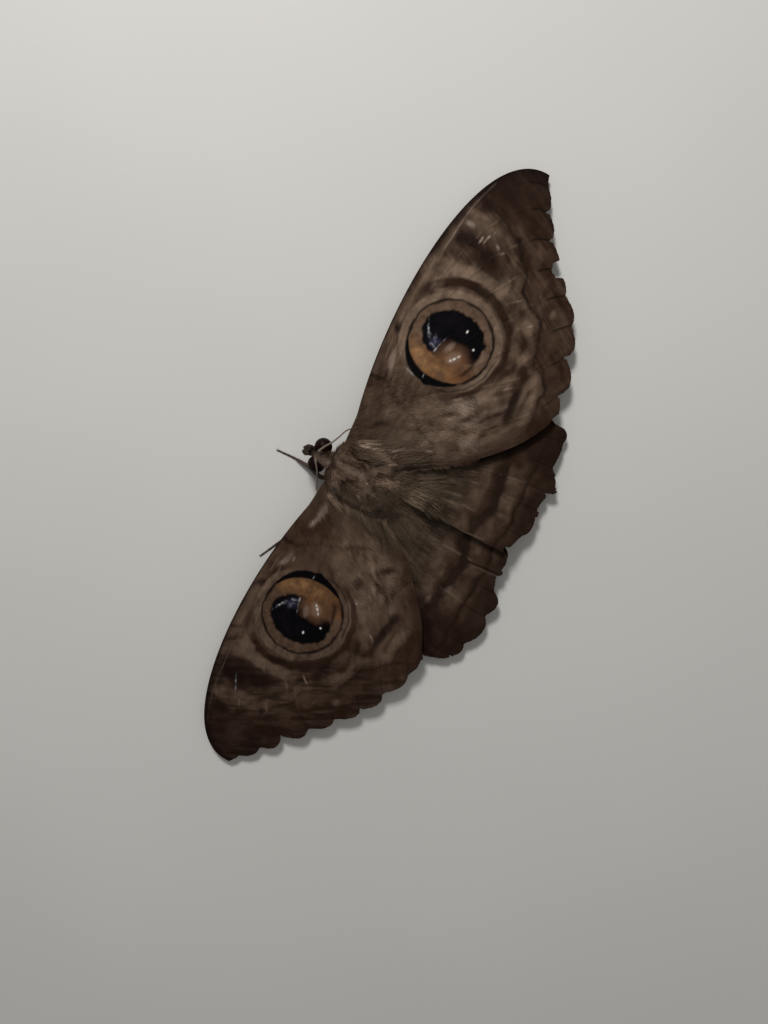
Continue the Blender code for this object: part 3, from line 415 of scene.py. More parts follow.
def noise(x, y, size, seed=0):
    """Smooth value noise from -1 to 1: random values on a square lattice, eased between its corners."""
    x, y = np.asarray(x, float)/size + 37.3*seed, np.asarray(y, float)/size - 19.7*seed
    ix, iy = np.floor(x), np.floor(y)
    fx, fy = ease(x - ix), ease(y - iy)

    def corner(a, b):
        wave = np.sin(a*127.1 + b*311.7 + seed*74.7)*43758.5453
        return 2.0*(wave - np.floor(wave)) - 1.0

    low = corner(ix, iy)*(1 - fx) + corner(ix + 1, iy)*fx
    high = corner(ix, iy + 1)*(1 - fx) + corner(ix + 1, iy + 1)*fx
    return low*(1 - fy) + high*fy


def rough(x, y, size, seed=0, octaves=3):
    """Sum of value noises, each half the size and half the strength of the one before."""
    total = np.zeros(np.broadcast(x, y).shape)
    for k in range(octaves):
        total += noise(x, y, size*0.5**k, seed + 5*k)*0.5**k
    return total/(2.0 - 0.5**(octaves - 1))


def cubic(corner_a, handles, corner_b, t):
    """Points of a cubic curve between two corners, drawn by its two handles."""
    a, b, c, d = (np.asarray(p, float) for p in (corner_a, handles[0], handles[1], corner_b))
    t = np.asarray(t, float)[..., None]
    return a*(1 - t)**3 + 3*b*t*(1 - t)**2 + 3*c*t**2*(1 - t) + d*t**3


def thorax_profile(y, half_length):
    """Share of the full width left at y: a superellipse, squarer in front than behind."""
    t = np.clip((np.asarray(y, float) - THORAX_MIDDLE_Y)/half_length, -1.0, 1.0)
    squareness = np.where(t < 0, FRONT_SQUARENESS, REAR_SQUARENESS)
    return (1.0 - np.abs(t)**squareness)**(1.0/squareness)


def thorax_centre_z(y):
    """Height of the thorax's axis, which sinks towards the abdomen."""
    return THORAX_CENTRE_Z - THORAX_REAR_DROP*ease((np.asarray(y, float) + 1.0)/4.2)


def beside_thorax(y):
    """Plan point at y that keeps the gap from the thorax's side."""
    x = (THORAX_HALF_WIDTH + ROOT_GAP)*thorax_profile(y, THORAX_HALF_LENGTH + ROOT_GAP)
    return np.stack([x, np.asarray(y, float)], -1)


def sheet_height(x, y):
    """Height of the forewing sheet: roots high, tips and front edge low."""
    out = np.clip((x - THORAX_HALF_WIDTH)/(HALF_SPAN - THORAX_HALF_WIDTH), 0.0, 1.0)
    front = np.clip((-y - 4.0)/8.0, 0.0, 1.0)*np.sin(math.pi*np.minimum(1.1*out, 1.0))
    rear = np.maximum(y - REAR_SLOPE_FROM_Y, 0.0)
    return (ROOT_HEIGHT - TIP_DROP*out + CAMBER*np.sin(math.pi*out)
            - FRONT_DROOP*front - REAR_SLOPE*rear)


def hind_height(x, y, side):
    """Height of a hindwing: under the forewing, domed over the abdomen, right over left."""
    along = np.clip((y - ABDOMEN_FRONT_Y)/(HIND_INNER_END[1] - ABDOMEN_FRONT_Y), 0.0, 1.0)
    dome = DOME_OVER_ABDOMEN*(1.0 - 0.75*along)*np.exp(-(x/DOME_HALF_WIDTH)**2)
    lift = np.zeros_like(x)
    if side == "right":
        lift = OVERLAP_LIFT*ease((y - ABDOMEN_FRONT_Y)/2.5)*np.exp(-(x/DOME_HALF_WIDTH)**2)
    return sheet_height(x, y) - FORE_OVER_HIND + dome + lift


def wing_height(pair, side, x, y):
    """Height of a wing's middle surface."""
    return sheet_height(x, y) if pair == "fore" else hind_height(x, y, side)


def lobe_at(place, t):
    """Which lobe between the notches at given places each t lies in, and how far along it."""
    lobe = np.clip(np.searchsorted(place, t, side="right"), 1, len(place) - 1)
    return lobe, np.clip((t - place[lobe - 1])/(place[lobe] - place[lobe - 1]), 0.0, 1.0)


def margin_offset(margin, t):
    """How far the margin stands out from its smooth curve: straight from notch to notch, with a
    lobe between them whose crest lies past its middle."""
    place, notch, crest = (np.array(column) for column in zip((0.0, 0.0, 0.0), *margin))
    lobe, phase = lobe_at(place, t)
    crest_phase = 0.5**(1.0/LOBE_SKEW)
    chord = notch[lobe - 1] + (notch[lobe] - notch[lobe - 1])*phase
    chord_at_crest = notch[lobe - 1] + (notch[lobe] - notch[lobe - 1])*crest_phase
    swell = 1.0 - np.abs(2.0*phase**LOBE_SKEW - 1.0)**LOBE_FULLNESS
    return chord + (crest[lobe] - chord_at_crest)*swell


def wear(pair, side, t):
    """How far fine wear takes the margin back: broken pieces, slits and small ragged teeth."""
    back = RAGGEDNESS*rough(60.0*t, 0.0*t + 3.0*(pair == "fore"), 0.6, 17 if side == "left" else 18, 3)
    for place, half, depth in WEAR[pair][side]:
        back = back + depth*between(t, place - half, place + half, 0.004)
    return back


def away_from_margin(curve, t):
    """Unit direction across the smooth margin curve, out of the wing."""
    step = 1e-4
    tangent = cubic(*curve, t + step) - cubic(*curve, t - step)
    outward = np.stack([tangent[..., 1], -tangent[..., 0]], -1)
    return unit(outward)


def lobed(curve, t, pair, side):
    """Margin curve pushed outwards or inwards by its notches and lobes."""
    return cubic(*curve, t) + away_from_margin(curve, t)*margin_offset(MARGINS[pair][side], t)[..., None]


def worn(plan, curve, u, v, pair, side):
    """Wing plan taken back at its margin by the wear, which fades out over the outermost part."""
    back = wear(pair, side, v)*ease(v/0.01)*ease((u - WEAR_FROM)/(1.0 - WEAR_FROM))
    return plan - away_from_margin(curve, v)*back[..., None]


def patch(front, rear, root, rim, u, v):
    """Plan point of a sheet spanned by four edge curves, each running across from its neighbour."""
    u2, v2 = u[..., None], v[..., None]
    zero, one = np.zeros_like(u), np.ones_like(u)
    sides = (1 - v2)*front(u) + v2*rear(u) + (1 - u2)*root(v) + u2*rim(v)
    corners = ((1 - u2)*(1 - v2)*root(zero) + u2*(1 - v2)*rim(zero)
               + (1 - u2)*v2*root(one) + u2*v2*rim(one))
    return sides - corners


def hind_root(t):
    """Root line of a hindwing: round the thorax's rear corner, then along its rear face."""
    width, length = THORAX_HALF_WIDTH + ROOT_GAP, THORAX_HALF_LENGTH + ROOT_GAP
    first = math.asin(((HIND_ROOT_FRONT_Y - THORAX_MIDDLE_Y)/length)**(REAR_SQUARENESS/2.0))
    last = math.acos((HIND_INNER_ROOT_X/width)**(REAR_SQUARENESS/2.0))
    angle = first + (last - first)*np.asarray(t, float)
    x = width*np.cos(angle)**(2.0/REAR_SQUARENESS)
    y = THORAX_MIDDLE_Y + length*np.sin(angle)**(2.0/REAR_SQUARENESS)
    return np.stack([x, np.minimum(y, ABDOMEN_FRONT_Y)], -1)


def wing_plan(pair, side, u, v):
    """Wing from root (u = 0) to margin (u = 1) and front edge (v = 0) to rear edge (v = 1). The root
    reaches a little under the fur of the thorax."""
    if pair == "fore":
        root_front, root_rear = beside_thorax(FORE_ROOT_Y[0]), beside_thorax(FORE_ROOT_Y[1])
        margin = (APEX, FORE_MARGIN_HANDLES, TORNUS)
        plan = patch(lambda t: cubic(root_front, COSTA_HANDLES, APEX, t),
                     lambda t: cubic(root_rear, FORE_TRAIL_HANDLES, TORNUS, t),
                     lambda t: beside_thorax(FORE_ROOT_Y[0] + (FORE_ROOT_Y[1] - FORE_ROOT_Y[0])*t),
                     lambda t: lobed(margin, t, pair, side), u, v)
        inward = 1.6*(1.0 - ease(u/0.06))
        plan = plan - np.stack([inward, 0.25*inward*(1.0 - ease(v/0.3))], -1)
    else:
        margin = (HIND_CORNER, HIND_MARGIN_HANDLES, HIND_INNER_END)
        plan = patch(lambda t: cubic(hind_root(0.0), HIND_COSTA_HANDLES, HIND_CORNER, t),
                     lambda t: cubic(hind_root(1.0), HIND_INNER_HANDLES, HIND_INNER_END, t),
                     hind_root, lambda t: lobed(margin, t, pair, side), u, v)
    return worn(plan, margin, u, v, pair, side)


def past_line(x, y, points):
    """How far outwards plan points lie past a broken line that runs beside the outer margin."""
    ox, oy = OUTWARD
    line = np.array(points)
    along, out = oy*line[:, 0] - ox*line[:, 1], ox*line[:, 0] + oy*line[:, 1]
    order = np.argsort(along)
    limit = np.interp(oy*x - ox*y, along[order], out[order])
    return ox*x + oy*y - limit


def vein_distance(pair, side, u, v):
    """Signed share from each vein to the grid point, and how fully the vein stands there. A vein
    leaves the root at its own place and swings to its notch in the margin."""
    notches = [notch[0] for notch in MARGINS[pair][side]][:-1]
    for (root, start), notch in zip(VEIN_ROOTS[pair], notches):
        swing = ease(u/VEIN_SPREAD_END)
        line = root + (notch - root)*(0.35*np.minimum(u/VEIN_SPREAD_END, 1.0) + 0.65*swing)
        standing = ease((u - start)/0.05 + (1.0 if start == 0.0 else 0.0))
        yield v - line, standing*ease(u/0.06)


def segments_distance(x, y, points):
    """Distance from plan points to a broken line through the given points."""
    nearest = np.full(np.broadcast(x, y).shape, 1e9)
    for (ax, ay), (bx, by) in zip(points[:-1], points[1:]):
        dx, dy = bx - ax, by - ay
        t = np.clip(((x - ax)*dx + (y - ay)*dy)/(dx*dx + dy*dy), 0.0, 1.0)
        nearest = np.minimum(nearest, np.hypot(x - ax - t*dx, y - ay - t*dy))
    return nearest


def blot(x, y, centre, half_length, half_width, turn=0.0):
    """Soft oval mark in the plan: 1 at its centre, easing off across its half sizes."""
    c, s = math.cos(math.radians(turn)), math.sin(math.radians(turn))
    dx, dy = x - centre[0], y - centre[1]
    return np.exp(-(((dx*c + dy*s)/half_length)**2 + ((dy*c - dx*s)/half_width)**2)**2)


def mix(colour, other, share):
    """Blend whole arrays of colours towards another colour by a share."""
    share = np.clip(share, 0.0, 1.0)[..., None]
    return colour*(1.0 - share) + np.asarray(other)*share


def vein_streaks(x, y, width, seed):
    """Noise drawn out along the wing from its root, as scales lie between the veins."""
    angle, reach = np.arctan2(y + 5.0, x + 4.0), np.hypot(x + 4.0, y + 5.0)
    return rough(40.0*angle, 0.2*reach, width, seed, 3)


def shoulder_streak(x, y):
    """How strongly plan points lie on the broken pale streaks of the shoulders."""
    broken = np.clip(0.75 + 0.8*rough(x, y, 0.7, 43, 2), 0.0, 1.0)
    right = bell(segments_distance(x + 0.3*noise(x, y, 1.1, 46), y, RIGHT_STREAK), 0.15)
    left = bell(segments_distance(x + 0.4*noise(x, y, 0.9, 45), y, LEFT_STREAK), 0.4)
    return broken*np.maximum(right, 0.35*left)


class Layers:
    """Colours of many points at once, with inks laid over one another by shares from 0 to 1."""

    def __init__(self, ink, ground, shape):
        self.ink = ink
        self.colour = np.broadcast_to(ink[ground], shape + (3,))

    def lay(self, tone, share):
        """Blend towards a named ink, or towards other colours, by a share at each point."""
        self.colour = mix(self.colour, self.ink[tone] if isinstance(tone, str) else tone, share)

    def scale(self, factor):
        """Brighten or darken each point by its own factor."""
        self.colour = self.colour*factor[..., None]


def from_spot(x, y):
    """Plan points measured from the eyespot's centre: across, back and distance."""
    sx, sy = x - SPOT[0], y - SPOT[1]
    return sx, sy, np.hypot(sx, sy)


def forewing_colour(x, y, v, side, ink):
    """Colour of the forewing's scales at plan points. The left wing has painted shade, browner and duller
    inks and a darker tone, with painted light on its inner part.
    """
    left = side == "left"
    seed = 50 if left else 0
    # The left wing's duller tan and rosy inks are painted shade.
    if left:
        ink = dict(ink, tan=mix(ink["tan"], ink["brown"], 0.42), rosy=0.82*ink["rosy"])
    cloud = rough(x, y, 5.5, 1 + seed, 4)
    mottle = rough(x, y, 1.7, 4 + seed, 3)
    fine = rough(x, y, 0.6, 2 + seed, 3)
    nap = vein_streaks(x, y, 1.0, 14 + seed)
    coat = Layers(ink, "brown", x.shape)
    lay_ground(coat, x, y, seed, cloud, mottle, nap)
    lay_border(coat, x, y, left, seed, cloud, mottle)
    lay_marks(coat, x, y, side, 0.3*rough(x, y, 2.2, 3 + seed), mottle, fine)
    lay_edges(coat, x, y, v, left, mottle, fine, nap)
    lay_rings(coat, x, y, left, mottle, fine, nap)
    # Painted shade darkens the left wing and painted light brightens its inner part.
    shade = 0.86 if left else 1.0
    lift = 0.25*(1.0 - ease((x - 22.0)/6.0)) + 0.2*(1.0 - ease((x - 10.0)/6.0)) if left else 0.0
    coat.scale(shade*(1.0 + lift)*(1.0 + 0.16*mottle + 0.15*nap + 0.15*fine))
    lay_disc(coat, x, y, shade, seed, mottle, fine)
    lay_eyespot(coat, x, y, fine)
    return coat.colour


def lay_ground(coat, x, y, seed, cloud, mottle, nap):
    """Ground of the forewing: cloudy, with pale wool behind the cell, olive and dark at the root."""
    coat.lay("tan", 0.12 + 0.36*np.clip(cloud, -0.6, 1.0) + 0.3*nap + 0.15*mottle)
    coat.lay("bark", 0.6*ease((-0.1 - cloud - 0.6*mottle)*2.2))
    woolly = blot(x, y, (13.6, 4.6), 9.0, 5.8, 38.0)
    ruffle = rough(0.7*x + 0.7*y, 2.6*(0.7*x - 0.7*y), 2.2, 15 + seed, 4)
    coat.lay("tan", woolly*(0.5 + 0.65*ruffle + 0.2*mottle))
    coat.lay("rosy", 0.4*woolly*ease((ruffle + 0.3*nap - 0.25)*2.0))
    coat.lay("bark", 0.55*woolly*ease((-ruffle - 0.1)*2.2))
    coat.lay("olive", 0.5*(1.0 - ease((x - 6.0)/6.0)))
    coat.lay("bark", 0.3*ease((-4.0 - y)/2.0)*(1.0 - ease((x - 14.0)/6.0)))


def lay_border(coat, x, y, left, seed, cloud, mottle):
    """Wavy lines between the eyespot's rings and the zigzag line, the dark border beyond it, and painted
    shade and light of fine creases over the outer part.
    """
    away = ease((from_spot(x, y)[2] - 9.0)/1.5)
    ripple = rough(0.28*(0.88*y - 0.47*x), 1.5*(0.88*x + 0.47*y), 1.0, 17 + seed, 3)
    past = past_line(x, y, ZIGZAG) + 0.3*noise(x, y, 1.7, 8) + 0.15*noise(x, y, 0.7, 9)
    inner = ease((x - 16.0)/5.0)
    for place, half, tone, strength in ZIGZAG_LINES:
        coat.lay(tone, strength*bell(past - place, half)*inner*away*(0.8 + 0.7*mottle))
    distal = ease((x - 27.0)/5.0)*away
    if not left:
        coat.lay("bark", 0.38*distal*between(past, -5.6, -0.3, 0.9)*(0.9 + 0.7*mottle))
    # Painted shade and light of fine creases over the outer part: dark where the ripple rises, pale where
    # it falls.
    crease_ripple_shade = (1.0 if left else 0.6)*distal
    coat.lay("soot", 0.6*crease_ripple_shade*ease((ripple - 0.05)*3.0))
    coat.lay("tan", 0.35*crease_ripple_shade*ease((-ripple - 0.1)*3.0))
    beyond = ease((past + 0.15)/0.6)*ease((x - 15.0)/4.0)
    # The dark border also takes part of the painted crease shading.
    coat.lay("bark", beyond*(0.6 + 0.3*cloud + 0.3*mottle + 0.5*ripple))
    coat.lay("soot", (0.45 if left else 0.8)*bell(past - 0.15, 0.36)*inner*(0.8 + 0.6*mottle))
    coat.lay("brown", 0.6*bell(past - 2.1 - 0.6*noise(x, y, 2.0, 66), 0.7)*beyond*(0.7 + 0.8*mottle))
    coat.lay("umber", (0.6 if left else 0.9)*ease((x - 44.0)/5.0)*(0.8 + 0.4*cloud))


def lay_marks(coat, x, y, side, wobble, mottle, fine):
    """Single marks of the forewing, the bent line near its root and the shoulder's pale streak."""
    for across, back, length, width, turn, tone, strength, *only in FORE_MARKS:
        if not only or side in only:
            flake = 0.5 + 1.1*fine if width < 0.3 else 0.9 + 0.3*fine + 0.3*mottle
            spot = blot(x + wobble, y + 0.7*wobble, (across, back), length, width, turn)
            coat.lay(tone, strength*spot*flake)
    coat.lay("soot", 0.6*bell(segments_distance(x + 0.3*wobble, y, BENT_LINE), 0.2))
    coat.lay("rosy", 0.85*shoulder_streak(x*SIDES[side], y))


def lay_edges(coat, x, y, v, left, mottle, fine, nap):
    """Edges of the forewing: grey-brown strip and pale line beside the costa, thin dark edges."""
    ends = 1.0 - ease((x - 32.0)/4.0) if left else 1.0
    coat.lay("tan", 0.55*ends*bell(segments_distance(x, y, COSTA_STRIP), 0.55)*(0.8 + 0.5*nap))
    coat.lay("rosy", (0.15 if left else 0.42)*bell(segments_distance(x, y, COSTA_LINE), 0.13)
             * (0.8 + 0.6*fine)*ease((x - 34.0)/4.0))
    coat.lay("bark", 0.8*bell(1.0 - v, 0.075)*ease((x - 5.0)/4.0)*(0.9 + 0.5*mottle))
    edge = bell(v, 0.014 + 0.02*ease((x - 34.0)/10.0))
    coat.lay("soot", 0.9*edge*ease((x - 9.0)/8.0))


def lay_rings(coat, x, y, left, mottle, fine, nap):
    """Rings round the eyespot, from outside in."""
    sx, sy, radius = from_spot(x, y)
    ring = radius + 0.16*noise(x, y, 2.0, 6) + 0.08*noise(x, y, 0.8, 7)
    band_radius = np.hypot(sx - 0.45, sy + 0.15) + ring - radius
    far = between(band_radius, 10.0, 11.3, 0.6)*ease((sx - 2.0)/4.0)*between(sy, -6.5, 3.0, 2.0)
    coat.lay("tan", 0.6*far*(0.8 + 0.3*fine + 0.5*nap))
    reach = ease((sx + 8.4)/1.5)*np.maximum(ease(sy/2.0), ease((sx - 2.0)/3.0))
    half = 0.2 + (0.12 if left else 0.24)*ease((sx - 4.0)/4.0)
    band = (between(band_radius + 0.15*fine, 8.9 - half, 8.9 + half, 0.5)*reach
            * (1.0 - 0.8*ease((-4.6 - sy)/2.2)))
    coat.lay("bark", (0.65 + 0.35*ease((sx + 2.5)/3.5))*band*(0.9 + 0.5*mottle))
    coat.lay("soot", 0.6*band*blot(x, y, (33.8, -2.3), 1.0, 1.8))
    pale = between(ring, 7.1, 7.95, 0.35)*ease((sx + 7.2)/2.5)
    coat.lay("tan", 0.8*pale*(0.85 + 0.3*fine + 0.4*nap))
    twin = bell(ring - 7.7, 0.15)*ease((sy + 0.5)/2.5)*ease((2.0 - sx)/2.5)
    coat.lay("soot", 0.65*twin)


def lay_disc(coat, x, y, shade, seed, mottle, fine):
    """Inside the eyespot's black ring line: grey-tan on the outer side, ochre towards the body."""
    sx, sy, radius = from_spot(x, y)
    disc = Layers(coat.ink, "ochre_dark", x.shape)
    disc.lay("tan", 0.38 + 0.2*fine + 0.25*blot(x, y, (24.6, 3.1), 2.4, 0.6))
    glow = ease((-sx - 0.3)/3.6)*ease((sy + 6.3)/1.2 + 0.4)
    spokes = rough(9.0*np.arctan2(sy, sx), 0.25*radius, 1.0, 18 + seed, 3)
    disc.lay("ochre", glow*(0.72 + 0.4*fine + 0.5*spokes))
    disc.lay("ochre_pale", glow*(0.75 + 0.6*fine + 0.7*spokes)*(
        0.8*blot(x, y, (21.1, -6.0), 2.4, 1.0, -58.0) + 0.5*blot(x, y, (20.4, -2.3), 0.9, 2.2)))
    disc.lay("ochre_dark", 0.5*glow*blot(x, y, (21.6, 1.6), 1.6, 1.4))
    disc.lay("umber", 0.75*bell(np.hypot((x - 24.9)/1.25, y + 2.4) - 4.85, 0.3)
             * ease((sy - 3.2)/1.0)*ease((1.6 - sx)/1.5)*ease((sx + 5.0)/1.5))
    # shade carries the left wing's painted shade into the disc.
    disc.scale(shade*(1.0 + 0.2*fine + 0.15*spokes + 0.1*mottle))
    coat.lay(disc.colour, ease((LINE_RADIUS - radius)/0.3 + 0.5))
    wave = 0.1*noise(x, y, 1.5, 16) + 0.1*noise(x, y, 0.6, 76)
    half_width = LINE_HALF_WIDTH*(0.95 + 0.6*noise(x, y, 1.1, 77))
    coat.lay("black", 0.95*bell(radius + wave - LINE_RADIUS, half_width))


def lay_eyespot(coat, x, y, fine):
    """The eyespot's black crescent, its pupil with a brown lobe let into its body side, and glints."""
    soft = 0.2
    sx, sy, radius = from_spot(x, y)
    radius = radius + 0.06*fine
    angle, inner, outer = (np.array(column) for column in zip(*CRESCENT))
    turn = np.degrees(np.arctan2(sy, -sx))
    coat.lay("black", ease((np.interp(turn, angle, outer) - radius)/soft + 0.5)
             * ease((radius - np.interp(turn, angle, inner))/soft + 0.5)
             * between(turn, angle[0], angle[-1], 1.5))

    (gx, gy), lobe = GLOW_LOBE
    to_lobe = np.hypot(x - gx, y - gy) - lobe + 0.25*noise(x, y, 1.0, 12)
    depth = np.clip(-to_lobe/2.2, 0.0, 1.0)
    tone = Layers(coat.ink, "umber", x.shape)
    tone.lay("ochre_dark", ease(2.0*depth))
    tone.lay("ochre", 0.6*ease(1.5*depth - 0.55)*ease((2.2 - y)/1.6))
    tone.lay("rosy", 0.4*blot(x, y, (24.3, -2.2), 1.1, 0.5, 22.0)
             + 0.35*blot(x, y, (23.1, -0.9), 1.3, 0.9, 38.0))
    tone.scale(1.0 + 0.25*fine)
    night = Layers(coat.ink, "black", x.shape)
    sheen = np.clip(0.35 + 0.9*rough(x, y, 1.1, 19, 3), 0.0, 1.0)
    night.lay("purple", sheen*blot(x, y, (26.3, -4.2), 3.6, 3.2, -30.0))
    night.lay("blue", 0.75*blot(x, y, (23.9, -4.6), 1.3, 0.9, -58.0)*(0.7 + 0.9*fine))
    night.lay(tone.colour, ease(-to_lobe/0.5 + 0.3))

    half_x, half_y = PUPIL_HALF_SIZES
    to_pupil = (np.hypot((x - PUPIL_CENTRE[0])/half_x, (y - PUPIL_CENTRE[1])/half_y) - 1.0)*half_x
    coat.lay(night.colour, ease(-(to_pupil + 0.28*fine)/0.36 + 0.5))
    for across, back, length, width, turn, tone, strength in SPOT_GLINTS:
        flake = 0.6 + 1.3*rough(x, y, 0.3, 7, 2) if length > 0.5 else 1.0
        coat.lay(tone, strength*blot(x, y, (across, back), length, width, turn)*flake)


def hindwing_colour(x, y, side, ink):
    """Colour of the hindwing's scales: olive-grey hair at the base, then bands parallel to the margin,
    painted shadow beside the forewing's edge, in a hollow and along the overlap, and painted shade and
    highlight on a fold."""
    left = side == "left"
    cloud = rough(x, y, 5.0, 21 if left else 24, 4)
    mottle = rough(x, y, 1.7, 26 if left else 27, 3)
    fine = rough(x, y, 0.6, 22, 3)
    fan = rough(34.0*np.arctan2(x, y + 8.0), 0.16*(y + 8.0), 1.1, 25 if left else 29, 3)
    coat = Layers(ink, "brown", x.shape)
    coat.lay("tan", 0.05 + 0.2*cloud + 0.15*mottle)
    coat.lay("bark", 0.25 - 0.25*cloud - 0.2*mottle)
    dip = bell(x - 4.9, 1.7) - 0.5*bell(x - 1.8, 1.2)
    depth = y + 0.05*(x - 9.0)**2/9.0 + 0.5*noise(x, y, 2.0, 23) + 0.15*fine
    base = 1 - ease((depth - 9.6)/2.2)
    coat.lay("olive", 0.9*base)
    coat.lay("tan", 0.5*base*ease((fan - 0.12)*3.0))
    coat.lay("soot", 0.5*base*ease((-fan - 0.2)*3.0))
    near = 1 - ease((x - 12.0)/3.0)
    coat.lay("tan", (0.3 if left else 0.16)*between(depth, 11.4, 13.8, 1.0)*near*(0.8 + 0.5*mottle))
    coat.lay("soot", 0.7*between(depth - dip, 15.3, 16.0, 0.9)*near*(0.85 + 0.5*mottle))
    coat.lay("bark", 0.45*between(depth - dip, 14.3, 15.0, 0.6))
    coat.lay("tan", 0.24*between(depth - dip, 16.9, 18.6, 0.8)*(1 - ease((x - 12.0)/4.0))
             * (0.7 + 1.0*mottle))
    coat.lay("soot", 0.75*bell(depth - 0.5*dip - 20.1, 0.4)*(0.8 + 0.6*mottle))
    coat.lay("umber", 0.6*ease((depth - 20.6)/1.2))
    coat.lay("umber", 0.6*ease((x - 11.5)/5.0)*ease((depth - 14.0)/1.5))
    coat.lay("bark", 0.5*ease((x - 11.0)/5.0))
    if left:
        # Painted shade in the left wing's fold, with a painted highlight on its lit side.
        shaded_crease = x - 4.35 + 0.08*(y - 18.0)
        for centre, length, width, turn, strength in HIND_LEFT_MARKS:
            coat.lay("rosy", strength*blot(x, y, centre, length, width, turn)*(0.8 + 0.6*fine))
        coat.lay("soot", 0.8*bell(shaded_crease, 0.13)*ease((y - 16.5)/1.0))
        coat.lay("tan", 0.25*bell(shaded_crease - 0.4, 0.16)*ease((y - 17.0)/1.0))
    else:
        coat.lay("tan", 0.3*blot(x, y, (4.7, 18.4), 0.4, 0.9))
        coat.lay("tan", 0.2*blot(x, y, (3.0, 17.4), 0.9, 0.5))
        # Painted shade in a hollow near the right wing's base.
        coat.lay("soot", 0.7*blot(x, y, (7.3, 6.2), 1.8, 0.7, 55.0))
    # Painted shadow cast by the forewing's rear edge onto the hindwing.
    edge = cubic(beside_thorax(FORE_ROOT_Y[1]), FORE_TRAIL_HANDLES, TORNUS, np.linspace(0.0, 1.0, 14))
    shade = bell(segments_distance(x, y, edge) - 0.3, 1.0)*ease((x - 7.0)/3.0)
    coat.lay("soot", (0.5 if left else 0.85)*shade)
    coat.scale(0.86*(1.0 + 0.2*mottle + 0.16*fine + 0.12*fan))
    if left:
        # Painted shadow of the right hindwing's overlapping inner edge on the left one.
        coat.lay("soot", 0.85*bell(x + 0.1, 0.75)*ease((y - 6.0)/4.0))
    else:
        coat.lay("tan", 0.45*bell(x - 0.1*(y - 15.0) + 0.1, 0.14)*between(y, 11.5, 16.8, 1.0))
    return coat.colour


def underside_colour(x, y, u, pair, ink):
    """Plainer brown of the underside: two faint pale bands and a dark spot at the cell's end."""
    coat = Layers(ink, "brown", x.shape)
    coat.lay("tan", 0.25 + 0.25*rough(x, y, 4.0, 31, 3))
    for place, half in ((0.55, 0.02), (0.78, 0.03)):
        coat.lay("tan", 0.55*bell(u - place + 0.02*noise(x, y, 2.0, 32), half))
        coat.lay("bark", 0.4*bell(u - place - 0.05, half))
    coat.lay("soot", 0.6*blot(x, y, (22.5, -2.0) if pair == "fore" else (9.5, 8.5), 0.8, 1.4))
    coat.lay("bark", 0.35*ease((u - 0.85)/0.1))
    return coat.colour


def wing_colour(pair, side, x, y, v, ink):
    """Colour of a wing's upper scales at plan points."""
    if pair == "fore":
        return forewing_colour(x, y, v, side, ink)
    return hindwing_colour(x, y, side, ink)


def body_colour(x, y, z, ink):
    """Colour of the body's fur: brown collar, pink-tan streaks on the shoulders, olive-grey behind."""
    cloud = rough(x + 0.7*z, y, 1.5, 41, 3)
    clump = rough(1.8*x, 0.8*y + 0.5*z, 0.8, 44, 3)
    streak = rough(3.4*x + 0.5*y, 0.7*y, 1.2, 42, 3)
    top = np.asarray(z) > 4.0
    coat = Layers(ink, "fur", np.shape(x))
    coat.lay("tan", 0.22 + 0.4*cloud + 0.4*clump + 0.3*streak)
    coat.lay("rosy", 0.22*ease((cloud + 0.7*clump - 0.4)*2.2))
    coat.lay("bark", 0.8*ease((-cloud - 0.8*clump - 0.1)*2.0))
    coat.lay("bark", 0.5*(1 - ease((y + 9.8)/1.0)))
    coat.lay("rosy", 0.5*shoulder_streak(x, y)*top)
    coat.lay("rosy", 0.4*blot(x, y, (-0.1, -4.6), 1.1, 0.5, 60.0)*(0.8 + clump))
    coat.lay("tan", 0.6*blot(x, y, (4.5, -8.2), 1.1, 0.6, 60.0))
    coat.lay("soot", 0.5*blot(x, y, (0.2, -9.8), 0.5, 0.8))
    for line, half, strength in BODY_SHADOWS:
        coat.lay("soot", strength*bell(segments_distance(x, y, line) + 0.12*streak, half)*top)
    coat.lay("olive", 0.8*ease((y + 0.6 + 0.8*clump)/1.4))
    # Painted highlight on the rear hair's ridge and painted shade in its valley.
    coat.lay("tan", 0.5*bell(segments_distance(x, y, REAR_RIDGE_HIGHLIGHT), 0.25)*top)
    coat.lay("soot", 0.8*bell(segments_distance(x, y, REAR_VALLEY_SHADE), 0.26)*top)
    coat.lay("tan", 0.3*(~top))
    coat.scale(1.12*np.exp(0.32*streak + 0.24*clump))
    return coat.colour


def put_points(mesh, points):
    """Write plan millimetres into a mesh as metres in the model's frame."""
    metres = (np.asarray(points, float) - (0.0, PLAN_MIDDLE_Y, 0.0))*MM
    mesh.vertices.add(len(metres))
    mesh.vertices.foreach_set("co", metres.astype(np.float32).ravel())


